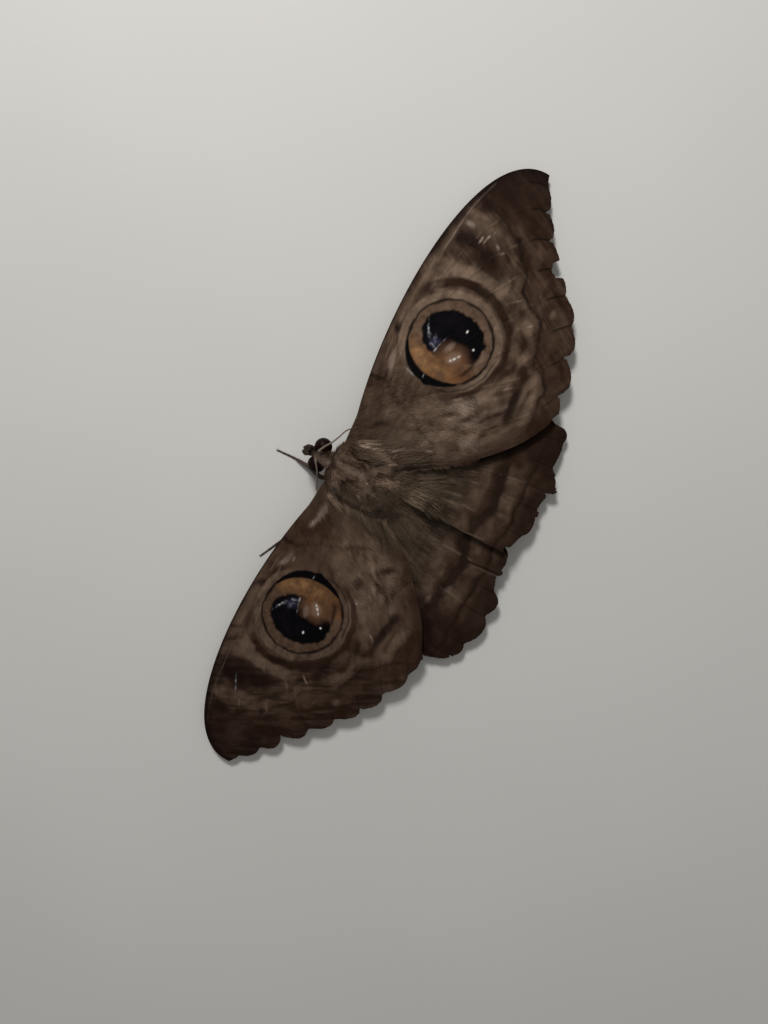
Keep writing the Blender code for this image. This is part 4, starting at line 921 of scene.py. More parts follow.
def add_piece(name, points, faces, material, colours=None, bake=None, nodes=()):
    """A finished piece from arrays of points and faces of one size, riding on the body. The colours
    go into an attribute and the flat places in the bake map go to each corner. Tufts, which are the
    pieces with a bake map, keep flat faces."""
    if name in bpy.data.objects:
        raise RuntimeError(f"the scene already has a piece named {name}")
    mesh = bpy.data.meshes.new(name)
    put_points(mesh, points)
    faces = [np.asarray(part, np.int32) for part in (faces if isinstance(faces, list) else [faces])]
    sizes = np.concatenate([np.full(len(part), part.shape[1], np.int32) for part in faces])
    corners = np.concatenate([part.ravel() for part in faces])
    mesh.loops.add(len(corners))
    mesh.loops.foreach_set("vertex_index", corners)
    mesh.polygons.add(len(sizes))
    starts = np.concatenate([[0], np.cumsum(sizes)[:-1]]).astype(np.int32)
    mesh.polygons.foreach_set("loop_start", starts)
    mesh.update(calc_edges=True)
    if colours is not None:
        layer = mesh.attributes.new("scale_colour", "FLOAT_COLOR", "POINT")
        opaque = np.concatenate([colours, np.ones((len(colours), 1))], axis=1)
        layer.data.foreach_set("color", opaque.astype(np.float32).ravel())
    if bake is None:
        mesh.shade_smooth()
    else:
        layer = mesh.uv_layers.new(name="OFBake")
        layer.data.foreach_set("uv", np.asarray(bake)[corners].astype(np.float32).ravel())
        mesh.shade_flat()
    mesh.validate()
    mesh.materials.append(material)
    obj = bpy.data.objects.new(name, mesh)
    bpy.context.collection.objects.link(obj)
    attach(obj, "root")
    if nodes:
        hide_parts(*nodes)
    return obj


def grid_faces(rows, columns, around=False):
    """Quads of a grid of points, facing the side from which rows then columns run anticlockwise."""
    index = np.arange(rows*columns).reshape(rows, columns)
    if around:
        index = np.concatenate([index, index[:, :1]], axis=1)
    return np.stack([index[:-1, :-1], index[1:, :-1], index[1:, 1:], index[:-1, 1:]], -1).reshape(-1, 4)


def tuft_mesh(roots, directions, normals, lengths, widths, bend, thickness):
    """Arrays of points and triangles of many tufts at once. Each is a flat three-sided blade: a ring
    of three points at its root, one at its middle, and a tip, bowed away from its skin by the bend."""
    across = unit(np.cross(directions, normals))
    upward = np.cross(across, directions)
    lengths, widths, bend = (np.broadcast_to(np.asarray(a, float), len(roots))[:, None]
                             for a in (lengths, widths, bend))
    rings = []
    for along, width, sag in ((0.0, 0.8, 0.0), (0.5, 1.0, 0.75)):
        centre = roots + directions*lengths*along + upward*lengths*bend*sag
        for side, rise in ((-0.5, 0.0), (0.5, 0.0), (0.0, thickness)):
            rings.append(centre + across*widths*width*side + upward*widths*width*rise)
    tip = roots + directions*lengths + upward*lengths*bend*0.35
    points = np.stack(rings + [tip], axis=1)
    one = np.array([[0, 4, 1], [0, 3, 4], [1, 5, 2], [1, 4, 5], [2, 3, 0], [2, 5, 3],
                    [3, 6, 4], [4, 6, 5], [5, 6, 3], [0, 1, 2]])
    faces = one[None] + TUFT_POINTS*np.arange(len(roots))[:, None, None]
    return points.reshape(-1, 3), faces.reshape(-1, 3)


def unwrap(along, across):
    """Bake-map places, kept off the map's edges, of shares from 0 to 1 along and across a surface."""
    return np.stack([0.02 + 0.96*along, 0.02 + 0.96*across], -1)


def bake_places(root_places):
    """Bake-map points of every tuft: a patch 0.003 across at its root's place on the skin's unwrap."""
    patch_points = 0.003*np.array([[0.0, 0.0], [1.0, 0.0], [0.5, 0.1], [0.0, 0.5], [1.0, 0.5],
                                   [0.5, 0.6], [0.5, 1.0]])
    return (np.asarray(root_places)[:, None] + patch_points[None] - 0.0015).reshape(-1, 2)


def tint(colours, draw, spread, root=0.85, tip=1.12):
    """Each tuft's own tone of its root's colour, with painted shade darkening its root among the other
    tufts and painted light on its tip.
    """
    shade = 1.0 + spread*draw.uniform(-1.0, 1.0, len(colours))
    # Darker root: painted shade among the tufts; paler tip: painted light.
    fade = np.ones(TUFT_POINTS)
    fade[:3] = root
    fade[-1] = tip
    return ((colours*shade[:, None])[:, None]*fade[None, :, None]).reshape(-1, 3)


def add_node(tree, kind, values=None, **settings):
    """Add a node with its own settings by name and its input values by name or number."""
    node = tree.nodes.new(kind)
    for key, value in settings.items():
        setattr(node, key, value)
    for key, value in (values or {}).items():
        node.inputs[key].default_value = value
    return node


def scale_grain_group():
    """Fine grain of overlapping scales on any surface: a colour that varies and a height for bump."""
    name = "Scale Grain"
    if name in bpy.data.node_groups:
        return bpy.data.node_groups[name]
    group = bpy.data.node_groups.new(name, "ShaderNodeTree")
    sockets = group.interface
    sockets.new_socket("Colour", in_out="INPUT", socket_type="NodeSocketColor")
    for label, value in (("Grain Scale", 2500.0), ("Cloud Scale", 350.0), ("Contrast", 0.25)):
        socket = sockets.new_socket(label, in_out="INPUT", socket_type="NodeSocketFloat")
        socket.default_value = value
    sockets.new_socket("Colour", in_out="OUTPUT", socket_type="NodeSocketColor")
    sockets.new_socket("Height", in_out="OUTPUT", socket_type="NodeSocketFloat")
    entry, leave = add_node(group, "NodeGroupInput"), add_node(group, "NodeGroupOutput")
    place = add_node(group, "ShaderNodeTexCoord")
    grain = add_node(group, "ShaderNodeTexNoise", {"Detail": 3.0})
    cloud = add_node(group, "ShaderNodeTexNoise", {"Detail": 4.0})
    both = add_node(group, "ShaderNodeMath", operation="ADD")
    centred = add_node(group, "ShaderNodeMath", {1: 1.0}, operation="SUBTRACT")
    scaled = add_node(group, "ShaderNodeMath", {2: 1.0}, operation="MULTIPLY_ADD")
    vary = add_node(group, "ShaderNodeMix", {"Factor": 1.0}, data_type="RGBA", blend_type="MULTIPLY")
    for source, output, target, entrance in (
            (place, "Object", grain, "Vector"),
            (place, "Object", cloud, "Vector"),
            (entry, "Grain Scale", grain, "Scale"),
            (entry, "Cloud Scale", cloud, "Scale"),
            (grain, "Fac", both, 0),
            (cloud, "Fac", both, 1),
            (both, 0, centred, 0),
            (centred, 0, scaled, 0),
            (entry, "Contrast", scaled, 1),
            (entry, "Colour", vary, "A"),
            (scaled, 0, vary, "B"),
            (vary, "Result", leave, "Colour"),
            (grain, "Fac", leave, "Height")):
        group.links.new(source.outputs[output], target.inputs[entrance])
    return group


def new_material(name, roughness, shine):
    """An empty material with its shader's plain values set."""
    material = bpy.data.materials.new(name)
    material.use_nodes = True
    shader = material.node_tree.nodes["Principled BSDF"]
    shader.inputs["Roughness"].default_value = roughness
    shader.inputs["Specular IOR Level"].default_value = shine
    return material, shader


def add_bump(tree, shader, height, values, **settings):
    """Raise a shader's surface by the height that a node's output gives."""
    raised = add_node(tree, "ShaderNodeBump", values, **settings)
    tree.links.new(height, raised.inputs["Height"])
    tree.links.new(raised.outputs["Normal"], shader.inputs["Normal"])


def finish(name):
    """A finish of coloured scales or hair, made once and then found again by its name: the piece's own
    colour attribute, varied and bumped by fine grain."""
    if name in bpy.data.materials:
        return bpy.data.materials[name]
    roughness, grain, cloud, contrast, bump, shine = FINISHES[name]
    material, shader = new_material(name, roughness, shine)
    tree = material.node_tree
    colour = add_node(tree, "ShaderNodeAttribute", attribute_name="scale_colour", location=(-900, 200))
    grained = add_node(tree, "ShaderNodeGroup",
                       {"Grain Scale": grain, "Cloud Scale": cloud, "Contrast": contrast},
                       node_tree=scale_grain_group(), location=(-600, 200))
    tree.links.new(colour.outputs["Color"], grained.inputs["Colour"])
    tree.links.new(grained.outputs["Colour"], shader.inputs["Base Color"])
    add_bump(tree, shader, grained.outputs["Height"], {"Strength": bump, "Distance": 0.00012},
             location=(-300, -200))
    return material


def cloudy_base(tree, shader, frequency, darker, paler):
    """Blend a shader's base colour between two tones in soft clouds; gives back the place node."""
    place = add_node(tree, "ShaderNodeTexCoord")
    cloud = add_node(tree, "ShaderNodeTexNoise", {"Scale": frequency})
    tone = add_node(tree, "ShaderNodeMix", {"A": (*darker, 1.0), "B": (*paler, 1.0)}, data_type="RGBA")
    tree.links.new(place.outputs["Object"], cloud.inputs["Vector"])
    tree.links.new(cloud.outputs["Fac"], tone.inputs["Factor"])
    tree.links.new(tone.outputs["Result"], shader.inputs["Base Color"])
    return place


def eye_material(colour):
    """Dark glossy eye with a faint grid of facets under its shine."""
    material, shader = new_material("eye_gloss", 0.4, 0.06)
    tree = material.node_tree
    place = cloudy_base(tree, shader, 900.0, colour, 2.6*colour)
    facets = add_node(tree, "ShaderNodeTexVoronoi", {"Scale": 16000.0})
    tree.links.new(place.outputs["Object"], facets.inputs["Vector"])
    add_bump(tree, shader, facets.outputs["Distance"], {"Strength": 0.25, "Distance": 0.00002}, invert=True)
    return material


def claw_material(colour):
    """Hard dark claw, a little lighter in cloudy patches."""
    material, shader = new_material("claw_horn", 0.35, 0.5)
    cloudy_base(material.node_tree, shader, 6000.0, colour, 1.8*colour)
    return material


def wing_grid(pair, side, rows, columns):
    """Parameters, plan and heights of a wing's dense grid, with veins and pleats in the height."""
    u = np.linspace(0.0, 1.0, rows)**0.92
    u, v = np.meshgrid(u, np.linspace(0.0, 1.0, columns), indexing="ij")
    plan = wing_plan(pair, side, u, v)
    x, y = plan[..., 0], plan[..., 1]
    across = np.linalg.norm(np.gradient(plan, axis=1), axis=-1)*(columns - 1)
    ridge = np.zeros_like(u)
    for share, standing in vein_distance(pair, side, u, v):
        ridge = np.maximum(ridge, standing*bell(share*across, VEIN_HALF_WIDTH))
    notches = np.array([0.0] + [notch[0] for notch in MARGINS[pair][side]])
    pleat = np.sin(math.pi*lobe_at(notches, v)[1])*ease((u - 0.55)/0.4)
    ripple = 0.05*noise(x, y, 4.0, 12) + 0.02*noise(x, y, 1.5, 13)
    height = wing_height(pair, side, x, y) + PLEAT_DEPTH*(pleat - 0.5) + ripple*ease(u/0.2)
    return u, v, x, y, height, ridge


def add_wing(pair, side, material, ink):
    """One wing: a dense patterned top, a coarser underside a membrane's thickness below, and a rim."""
    rows, columns = WING_GRID[pair]
    u, v, x, y, height, ridge = wing_grid(pair, side, rows, columns)
    fade = ease(u/0.05)
    sign = SIDES[side]
    swept = y + SWEEP[pair][side]*x
    top = np.stack([sign*x, swept, height + 0.5*MEMBRANE + VEIN_HEIGHT*ridge*fade], -1)
    tones = wing_colour(pair, side, x, y, v, ink)
    scratch = ease(noise(x, y, 1.6, 61)*2.0 - 0.4)
    paler = ridge*fade*scratch*(1.0 - ease((u - 0.8)/0.08))
    tones = mix(tones, ink["tan"], 0.4*paler*(np.mean(tones, axis=-1) > 0.015))
    # Painted shade in the creases that run along the veins into the margin's notches, strongest on the
    # right forewing.
    strength = 0.8 if (pair, side) == ("fore", "right") else 0.45
    shaded_crease = ridge*ease((u - 0.875 - 0.03*noise(9.0*v, 0.0*v, 1.0, 62))/0.03)
    tones = mix(tones, ink["soot"], strength*shaded_crease)
    pick = np.ix_(*(np.unique(np.append(np.arange(0, n, UNDER_GRID_STEP), n - 1)) for n in (rows, columns)))
    under = np.stack([sign*x, swept, height - 0.5*MEMBRANE - 0.5*VEIN_HEIGHT*ridge*fade], -1)
    under_tones = underside_colour(x, y, u, pair, ink)
    points, faces, colours = closed_sheet(top, under, tones, under_tones, pick, sign)
    return add_piece(f"{pair}wing_{side}_membrane", points, faces, material,
                     colours, nodes=(f"{pair}wing_{side}",))


def closed_sheet(top, under, top_colours, under_colours, pick, sign):
    """Points, faces and colours of a sheet whose underside is coarser than its top, closed at the rim
    by a band of triangles from the dense edge to the coarse one."""
    rows, columns = top.shape[:2]
    coarse, coarse_colours = under[pick], under_colours[pick]
    low_rows, low_columns = coarse.shape[:2]
    upper = grid_faces(rows, columns)
    lower = grid_faces(low_rows, low_columns)[:, ::-1] + rows*columns
    triangles = []
    dense = np.arange(rows*columns).reshape(rows, columns)
    loose = np.arange(low_rows*low_columns).reshape(low_rows, low_columns) + rows*columns
    kept_rows, kept_columns = pick[0].ravel(), pick[1].ravel()
    edges = ((dense[:, 0], loose[:, 0], kept_rows, False), (dense[-1], loose[-1], kept_columns, False),
             (dense[:, -1], loose[:, -1], kept_rows, True), (dense[0], loose[0], kept_columns, True))
    for fine_edge, coarse_edge, kept, turned in edges:
        owner = np.searchsorted(kept, np.arange(len(fine_edge) - 1), side="right") - 1
        middle = (kept[owner] + kept[np.minimum(owner + 1, len(kept) - 1)])//2
        apex = np.where(np.arange(len(fine_edge) - 1) < middle, owner, owner + 1)
        side_a = np.stack([fine_edge[1:], fine_edge[:-1], coarse_edge[apex]], -1)
        split = (kept[:-1] + kept[1:])//2
        side_b = np.stack([fine_edge[split], coarse_edge[:-1], coarse_edge[1:]], -1)
        band = np.concatenate([side_a, side_b])
        triangles.append(band[:, ::-1] if turned else band)
    faces = [np.concatenate([upper, lower]), np.concatenate(triangles)]
    if sign < 0:
        faces = [part[:, ::-1] for part in faces]
    points = np.concatenate([top.reshape(-1, 3), coarse.reshape(-1, 3)])
    colours = np.concatenate([top_colours.reshape(-1, 3), coarse_colours.reshape(-1, 3)])
    return points, faces, colours


def body_half_sizes(y):
    """Half width, rise, sink and axis height of the skin at y, smoothly the largest of head, thorax
    and abdomen, each inside its solid by the coat's depth."""
    forward = np.clip((y - HEAD_REAR_Y - 0.9)/(HEAD_FRONT_Y - HEAD_REAR_Y - 0.9), 0.0, 1.0)
    head = np.where(y < HEAD_REAR_Y + 0.9, (1.0 - forward**3.2)**(1.0/2.2), 0.0)
    head *= ease((HEAD_REAR_Y + 1.0 - y)/0.5)
    chest = thorax_profile(y, THORAX_HALF_LENGTH - 0.35)
    along = np.clip((y - ABDOMEN_FRONT_Y)/(ABDOMEN_END_Y - 0.3 - ABDOMEN_FRONT_Y), 0.0, 1.0)
    ringed = 1.0 + 0.05*(np.mod(along*ABDOMEN_SEGMENTS, 1.0) - 0.5)*ease(along/0.1)
    tail = np.where(y > 1.5, (1.0 - 0.45*along)*(1.0 - along**6)**0.7*ringed, 0.0)
    tail *= ease((y - 1.5)/1.0)

    def largest(*sizes):
        return sum(np.maximum(size, 0.0)**6 for size in sizes)**(1.0/6.0)

    nape = 1.0 + 0.35*bell(y - HEAD_REAR_Y + 0.1, 0.8)
    width = largest(0.86*head*nape, (THORAX_HALF_WIDTH - COAT_DEPTH)*chest, (ABDOMEN_HALF_WIDTH - 0.2)*tail)
    rise = largest(1.55*head, (THORAX_RISE - COAT_DEPTH)*chest, (ABDOMEN_HALF_HEIGHT - 0.2)*tail)
    sink = largest(1.55*head, (THORAX_SINK - 0.35)*chest, (ABDOMEN_HALF_HEIGHT - 0.2)*tail)
    abdomen_z = ABDOMEN_FRONT_Z + (ABDOMEN_END_Z - ABDOMEN_FRONT_Z)*along
    centre = HEAD_CENTRE_Z + (thorax_centre_z(y) - HEAD_CENTRE_Z)*ease((y + 11.0)/1.2)
    centre = centre + (abdomen_z - centre)*ease((y - 2.2)/1.6)
    return width, rise, sink, centre


def body_point(y, angle):
    """Point of the skin at y and at an angle round it, with its outward normal."""
    def place(at_y, at_angle):
        width, rise, sink, centre = body_half_sizes(at_y)
        power = 2.0/SECTION_SQUARENESS
        across = np.sign(np.cos(at_angle))*np.abs(np.cos(at_angle))**power
        upward = np.sign(np.sin(at_angle))*np.abs(np.sin(at_angle))**power
        height = np.where(upward > 0, rise, sink)*upward
        point = np.stack([width*across, at_y, centre + height], -1)
        return turn_head(point)

    step = 0.02
    point = place(y, angle)
    forward = place(y + step, angle) - place(y - step, angle)
    around = place(y, angle + step) - place(y, angle - step)
    normal = unit(np.cross(around, forward))
    outward = point - turn_head(np.stack([0*y, y, body_half_sizes(y)[3]], -1))
    normal *= np.sign(np.sum(normal*outward, axis=-1, keepdims=True) + 1e-12)
    return point, normal


def turn_head(points):
    """Turn what lies ahead of the neck about it, easing in behind it."""
    share = ease((HEAD_REAR_Y + 0.6 - points[..., 1])/0.9)
    turn = HEAD_TURN*share
    x, y = points[..., 0], points[..., 1] - HEAD_REAR_Y
    turned_x = x*np.cos(turn) - y*np.sin(turn) + HEAD_SHIFT_X*share
    turned_y = x*np.sin(turn) + y*np.cos(turn) + HEAD_REAR_Y
    return np.stack([turned_x, turned_y, points[..., 2]], -1)


def head_frame(points):
    """Place the head's own parts: turned about the neck and shifted with it."""
    points = np.asarray(points, float) - (0.0, HEAD_REAR_Y, 0.0)
    c, s = math.cos(HEAD_TURN), math.sin(HEAD_TURN)
    turned = points @ np.array([[c, s, 0.0], [-s, c, 0.0], [0.0, 0.0, 1.0]])
    return turned + (HEAD_SHIFT_X, HEAD_REAR_Y, 0.0)


def add_body_skin(material, ink):
    """One closed skin from brow to tail: superellipse rings along the body, poles closed by fans."""
    rows, columns = SKIN_GRID
    along = np.linspace(0.0, 1.0, rows)
    y = HEAD_FRONT_Y + 0.02 + (ABDOMEN_END_Y - 0.33 - HEAD_FRONT_Y)*along
    angle = 2.0*math.pi*np.arange(columns)/columns
    yy, aa = np.meshgrid(y, angle, indexing="ij")
    points, _ = body_point(yy, aa)
    flat, faces, caps = closed_rings(points)
    colours = 0.75*body_colour(flat[:, 0], flat[:, 1], flat[:, 2], ink)
    return add_piece("body_skin", flat, [faces, caps], material,
                     colours, nodes=("head", "thorax", "abdomen"))


def closed_rings(rings):
    """Points, quads and end triangles of a row of rings, each closed round and fanned at both ends.
    The rings run so that along the row times round the ring points outwards."""
    count, sides = rings.shape[:2]
    ring = np.arange(sides)
    beside = np.roll(ring, -1)
    last = (count - 1)*sides
    caps = np.concatenate([np.stack([ring, beside, np.full(sides, count*sides)], -1),
                           np.stack([beside + last, ring + last, np.full(sides, count*sides + 1)], -1)])
    points = np.concatenate([rings.reshape(-1, 3), rings[0].mean(0)[None], rings[-1].mean(0)[None]])
    return points, grid_faces(count, sides, around=True), caps


def wings_top(x, y):
    """Height of the highest wing surface over a plan point near the body."""
    t = np.linspace(0.0, 1.0, 60)
    trailing = cubic(beside_thorax(FORE_ROOT_Y[1]), FORE_TRAIL_HANDLES, TORNUS, t)
    reach = np.abs(x)
    hind = np.where(x < 0.4, hind_height(reach, y, "right"), hind_height(reach, y, "left"))
    edge = np.interp(reach, trailing[:, 0], trailing[:, 1])
    fore = ease((edge + 0.5 - y)/0.5)
    return hind*(1 - fore) + sheet_height(reach, y)*fore + 0.5*MEMBRANE + VEIN_HEIGHT


def body_unwrap(y, angle):
    """Place on the body's unwrap: along the body by round it."""
    along = (y - HEAD_FRONT_Y)/(ABDOMEN_END_Y - HEAD_FRONT_Y)
    return unwrap(along, np.mod(angle/(2.0*math.pi) + 0.25, 1.0))


def add_thorax_fur(material, ink, count):
    """Short fur of thorax and collar: tufts that lie back over one another, longer behind."""
    draw = np.random.default_rng(TUFT_SEED)
    y = draw.uniform(-10.2, 2.6, count)
    angle = draw.uniform(-0.5*math.pi, 1.5*math.pi, count)
    root, normal = body_point(y, angle)
    rear = ease((y + 4.0)/6.0)
    corner = ease((np.abs(root[:, 0]) - 2.2)/1.6)*(1.0 - ease((y + 7.4)/1.4))
    curl = 0.45*noise(root[:, 0], y, 1.1, 45)
    back = np.stack([np.sign(root[:, 0])*(0.14*ease(np.abs(root[:, 0])/3.0) + 0.75*corner) + curl
                     + 0.06*draw.normal(size=count), np.ones(count), 0.0*y], -1)
    flow = along_skin(back, normal)
    stand = 0.25 + 0.22*noise(root[:, 0], y, 0.7, 46) + 0.07*draw.normal(size=count)
    direction = unit(flow + normal*stand[:, None])
    low = root[:, 2] < 4.0
    length = (0.95 + 0.9*rear + 0.4*corner)*draw.uniform(0.75, 1.25, count)*np.where(low, 0.7, 1.0)
    wing_root = (np.abs(root[:, 2] - ROOT_HEIGHT) < 0.35) & (y > -8.6) & (y < 1.0)
    keep = ~(wing_root & (np.abs(root[:, 0]) > 3.9))
    root, normal, direction, length, y, angle = (
        values[keep] for values in (root, normal, direction, length, y, angle))
    points, faces = tuft_mesh(root - 0.12*normal, direction, normal, length,
                              draw.uniform(0.05, 0.1, len(y)), -0.15, 0.3)
    # root=0.6 paints deeper shade on the roots between the close tufts.
    colours = tint(1.25*body_colour(root[:, 0], root[:, 1], root[:, 2], ink), draw, 0.26, root=0.6)
    return add_piece("thorax_fur", points, faces, material, colours,
                     bake_places(body_unwrap(y, angle)))


def long_tuft_mesh(paths, widths, thickness):
    """Points and triangles of long tufts that follow paths of five points each: three-sided rings
    at the first four points, slimming to the tip."""
    tangent = unit(np.gradient(paths, axis=1))
    across = unit(np.cross(tangent, np.array([0.0, 0.0, 1.0])))
    upward = np.cross(across, tangent)
    taper = np.array([0.8, 1.0, 0.85, 0.5])[None, :, None]*np.asarray(widths)[:, None, None]
    rings = [paths[:, :4] + across[:, :4]*taper*side + upward[:, :4]*taper*rise
             for side, rise in ((-0.5, 0.0), (0.5, 0.0), (0.0, thickness))]
    rings = np.stack(rings, axis=2).reshape(len(paths), 12, 3)
    points = np.concatenate([rings, paths[:, 4:]], axis=1)
    one = []
    for k in range(3):
        for a, b in ((0, 1), (1, 2), (2, 0)):
            one += [[3*k + a, 3*k + 3 + b, 3*k + b], [3*k + a, 3*k + 3 + a, 3*k + 3 + b]]
    one += [[9, 12, 10], [10, 12, 11], [11, 12, 9], [0, 1, 2]]
    faces = np.array(one)[None] + 13*np.arange(len(paths))[:, None, None]
    return points.reshape(-1, 3), faces.reshape(-1, 3)


def add_long_hair(material, ink, count, name, seed, only_side):
    """Long hair that fans from the thorax's rear and shoulders over the wing bases and hindwings.
    It grows in locks: the hairs of one lock start together, run side by side and close at the tip."""
    draw = np.random.default_rng(seed)
    locks = count//HAIRS_PER_LOCK
    behind = draw.uniform(size=locks) < 0.66
    place = only_side*draw.uniform(0.0, 1.0, locks)
    lock_x = np.where(behind, 4.4*place, only_side*draw.uniform(2.7, 4.5, locks))
    lock_y = np.where(behind, draw.uniform(-2.8, 2.0, locks) - 0.8*place**2, draw.uniform(-8.6, 0.4, locks))
    heading = np.where(behind, 0.66*place, only_side*(0.42 + 0.05*(lock_y + 8.6)))
    heading += 0.12*draw.normal(size=locks)
    length = np.where(behind, draw.uniform(4.4, 10.4, locks)*(1 - 0.25*place**2),
                      draw.uniform(2.4, 5.0, locks))
    bend = 0.3*draw.normal(size=locks)
    layer = draw.uniform(0.0, 0.6, locks)
    # Higher locks are lighter and lower ones darker: painted shade under the upper locks.
    shade = np.exp(0.4*draw.normal(size=locks))*(0.72 + 0.7*layer)

    pick = np.arange(count) % locks
    spread = draw.normal(size=count)
    along = np.array([0.0, 0.25, 0.5, 0.75, 1.0])
    hair_length = length[pick]*draw.uniform(0.7, 1.05, count)
    own_heading = heading[pick] + 0.05*spread + 0.03*draw.normal(size=count)
    angle = own_heading[:, None] + bend[pick][:, None]*(along - 0.3)
    step = np.diff(along, prepend=0.0)*hair_length[:, None]
    sideways = 0.3*spread[:, None]*(1.0 - 0.78*along)
    x = lock_x[pick][:, None] + np.cumsum(step*np.sin(angle), axis=1) + sideways*np.cos(angle)
    start_y = lock_y[pick] + 0.25*draw.normal(size=count)
    y = start_y[:, None] + np.cumsum(step*np.cos(angle), axis=1) - sideways*np.sin(angle)
    share = np.maximum(thorax_profile(y, THORAX_HALF_LENGTH), 1e-6)
    across = np.clip(np.abs(x)/(THORAX_HALF_WIDTH*share), 0.0, 1.0)
    crown = (1.0 - across**SECTION_SQUARENESS)**(1/SECTION_SQUARENESS)
    fur_top = thorax_centre_z(y) + THORAX_RISE*share*crown
    rise = (layer[pick] + 0.06*draw.normal(size=count))[:, None]
    over_wings = wings_top(x, y) + 0.06 + np.maximum(rise, 0.0)*(1.0 - 0.9*along)
    z = np.maximum(over_wings, fur_top - 0.2 + 0.3*rise)
    z[:, 0] = fur_top[:, 0] - COAT_DEPTH - 0.15
    paths = np.stack([x, y, z], -1)
    points, faces = long_tuft_mesh(paths, draw.uniform(0.05, 0.1, count), 0.35)
    near = body_colour(lock_x[pick], lock_y[pick] + 1.0, np.full(count, 6.0), ink)
    far = mix(np.tile(1.15*ink["olive"], (count, 1)), ink["brown"], ease((y[:, 4] - 9.0)/3.0))
    far = mix(far, ink["fur"], ease((np.abs(x[:, 4]) - 7.0)/2.0)*(y[:, 4] < 5.0))
    change = np.array([0.0, 0.3, 0.65, 0.9, 1.0])[None, :, None]
    tones = 1.2*(near[:, None]*(1.0 - change) + far[:, None]*change)
    # Painted shade in the valley of the hair beside the right forewing's base.
    valley_shade = bell(segments_distance(x, y, WING_BASE_VALLEY_SHADE), 0.6)
    tones = tones*(1.0 - 0.65*valley_shade)[..., None]
    pale = (shoulder_streak(x, y)*(rise + 0.3 > 0.25))[..., None]
    tones = tones*(1.0 - 0.8*pale) + 0.8*ink["rosy"]*pale
    ring_points = (3, 3, 3, 3, 1)
    tones = np.repeat(tones, ring_points, axis=1)
    # Darker roots and lighter tips: painted shade among the roots and painted light on the tips.
    fade = np.repeat(np.array([0.6, 0.9, 1.05, 1.1, 1.1]), ring_points)[None, :, None]
    own = (shade[pick]*(1.0 + 0.2*draw.uniform(-1.0, 1.0, count)))[:, None, None]
    colours = np.clip(tones*fade*own, 0.0, 0.6).reshape(-1, 3)
    spot = body_unwrap(lock_y[pick], 0.5*math.pi - lock_x[pick]/5.0)
    bake = (spot[:, None] + 0.003*(draw.uniform(size=(1, 13, 2)) - 0.5)).reshape(-1, 2)
    return add_piece(name, points, faces, material, colours, bake)


def wing_frame(pair, side, u, v):
    """Points on a wing's top at its parameters, with normals and the directions along u and v."""
    step = 0.004

    def place(at_u, at_v):
        plan = wing_plan(pair, side, at_u, at_v)
        x, y = plan[..., 0], plan[..., 1]
        z = wing_height(pair, side, x, y) + 0.5*MEMBRANE
        return np.stack([SIDES[side]*x, y + SWEEP[pair][side]*x, z], -1), x, y

    point, x, y = place(u, v)
    outward = place(np.minimum(u + step, 1.0), v)[0] - place(np.maximum(u - step, 0.0), v)[0]
    rearward = place(u, np.minimum(v + step, 1.0))[0] - place(u, np.maximum(v - step, 0.0))[0]
    normal = unit(np.cross(outward, rearward)*SIDES[side])
    outward = unit(outward)
    rearward = unit(rearward)
    return point, normal, outward, rearward, x, y


def add_wing_wool(pair, side, material, ink, count):
    """Woolly scales over the inner part of a wing, lying outwards and back, shorter where they thin out."""
    draw = np.random.default_rng(TUFT_SEED + 20 + 2*(pair == "fore") + (side == "left"))
    u = draw.uniform(0.0, 1.0, count)**1.1*(0.46 if pair == "fore" else 0.62)
    v = draw.uniform(0.0, 1.0, count)
    point, normal, outward, rearward, x, y = wing_frame(pair, side, u, v)
    if pair == "fore":
        clear = ease((np.hypot(x - SPOT[0], y - SPOT[1]) - 8.6)/1.5)
        inner = 6.0 + 11.0*ease((y + 5.0)/8.0)
        chance = clear*(1.0 - ease((x - inner)/12.0))*ease((v + 0.01)/0.06)
    else:
        chance = 1.0 - ease((y - 7.5)/5.5)
    keep = draw.uniform(size=count) < 1.2*chance
    u, v, point, normal, outward, rearward, x, y, chance = (
        values[keep] for values in (u, v, point, normal, outward, rearward, x, y, chance))
    lean = 0.75 if pair == "fore" else 0.12
    flow = (outward + lean*rearward + 0.3*noise(x, y, 1.2, 63)[:, None]*rearward
            + 0.08*draw.normal(size=(len(u), 3)))
    flow = along_skin(flow, normal)
    direction = unit(flow + normal*draw.uniform(0.0, 0.05, len(u))[:, None])
    reach = (1.35 - 0.9*u) if pair == "fore" else 1.7*(1.3 - u)
    length = draw.uniform(0.7, 1.3, len(u))*reach*(0.45 + 0.55*ease(2.0*chance))
    points, faces = tuft_mesh(point - 0.01*normal, direction, normal, length,
                              draw.uniform(0.05, 0.09, len(u)), 0.0, 0.2)
    colours = tint(1.08*wing_colour(pair, side, x, y, v, ink), draw, 0.15, root=0.95, tip=1.05)
    return add_piece(f"{pair}wing_{side}_wool", points, faces, material, colours,
                     bake_places(unwrap(u, v)))


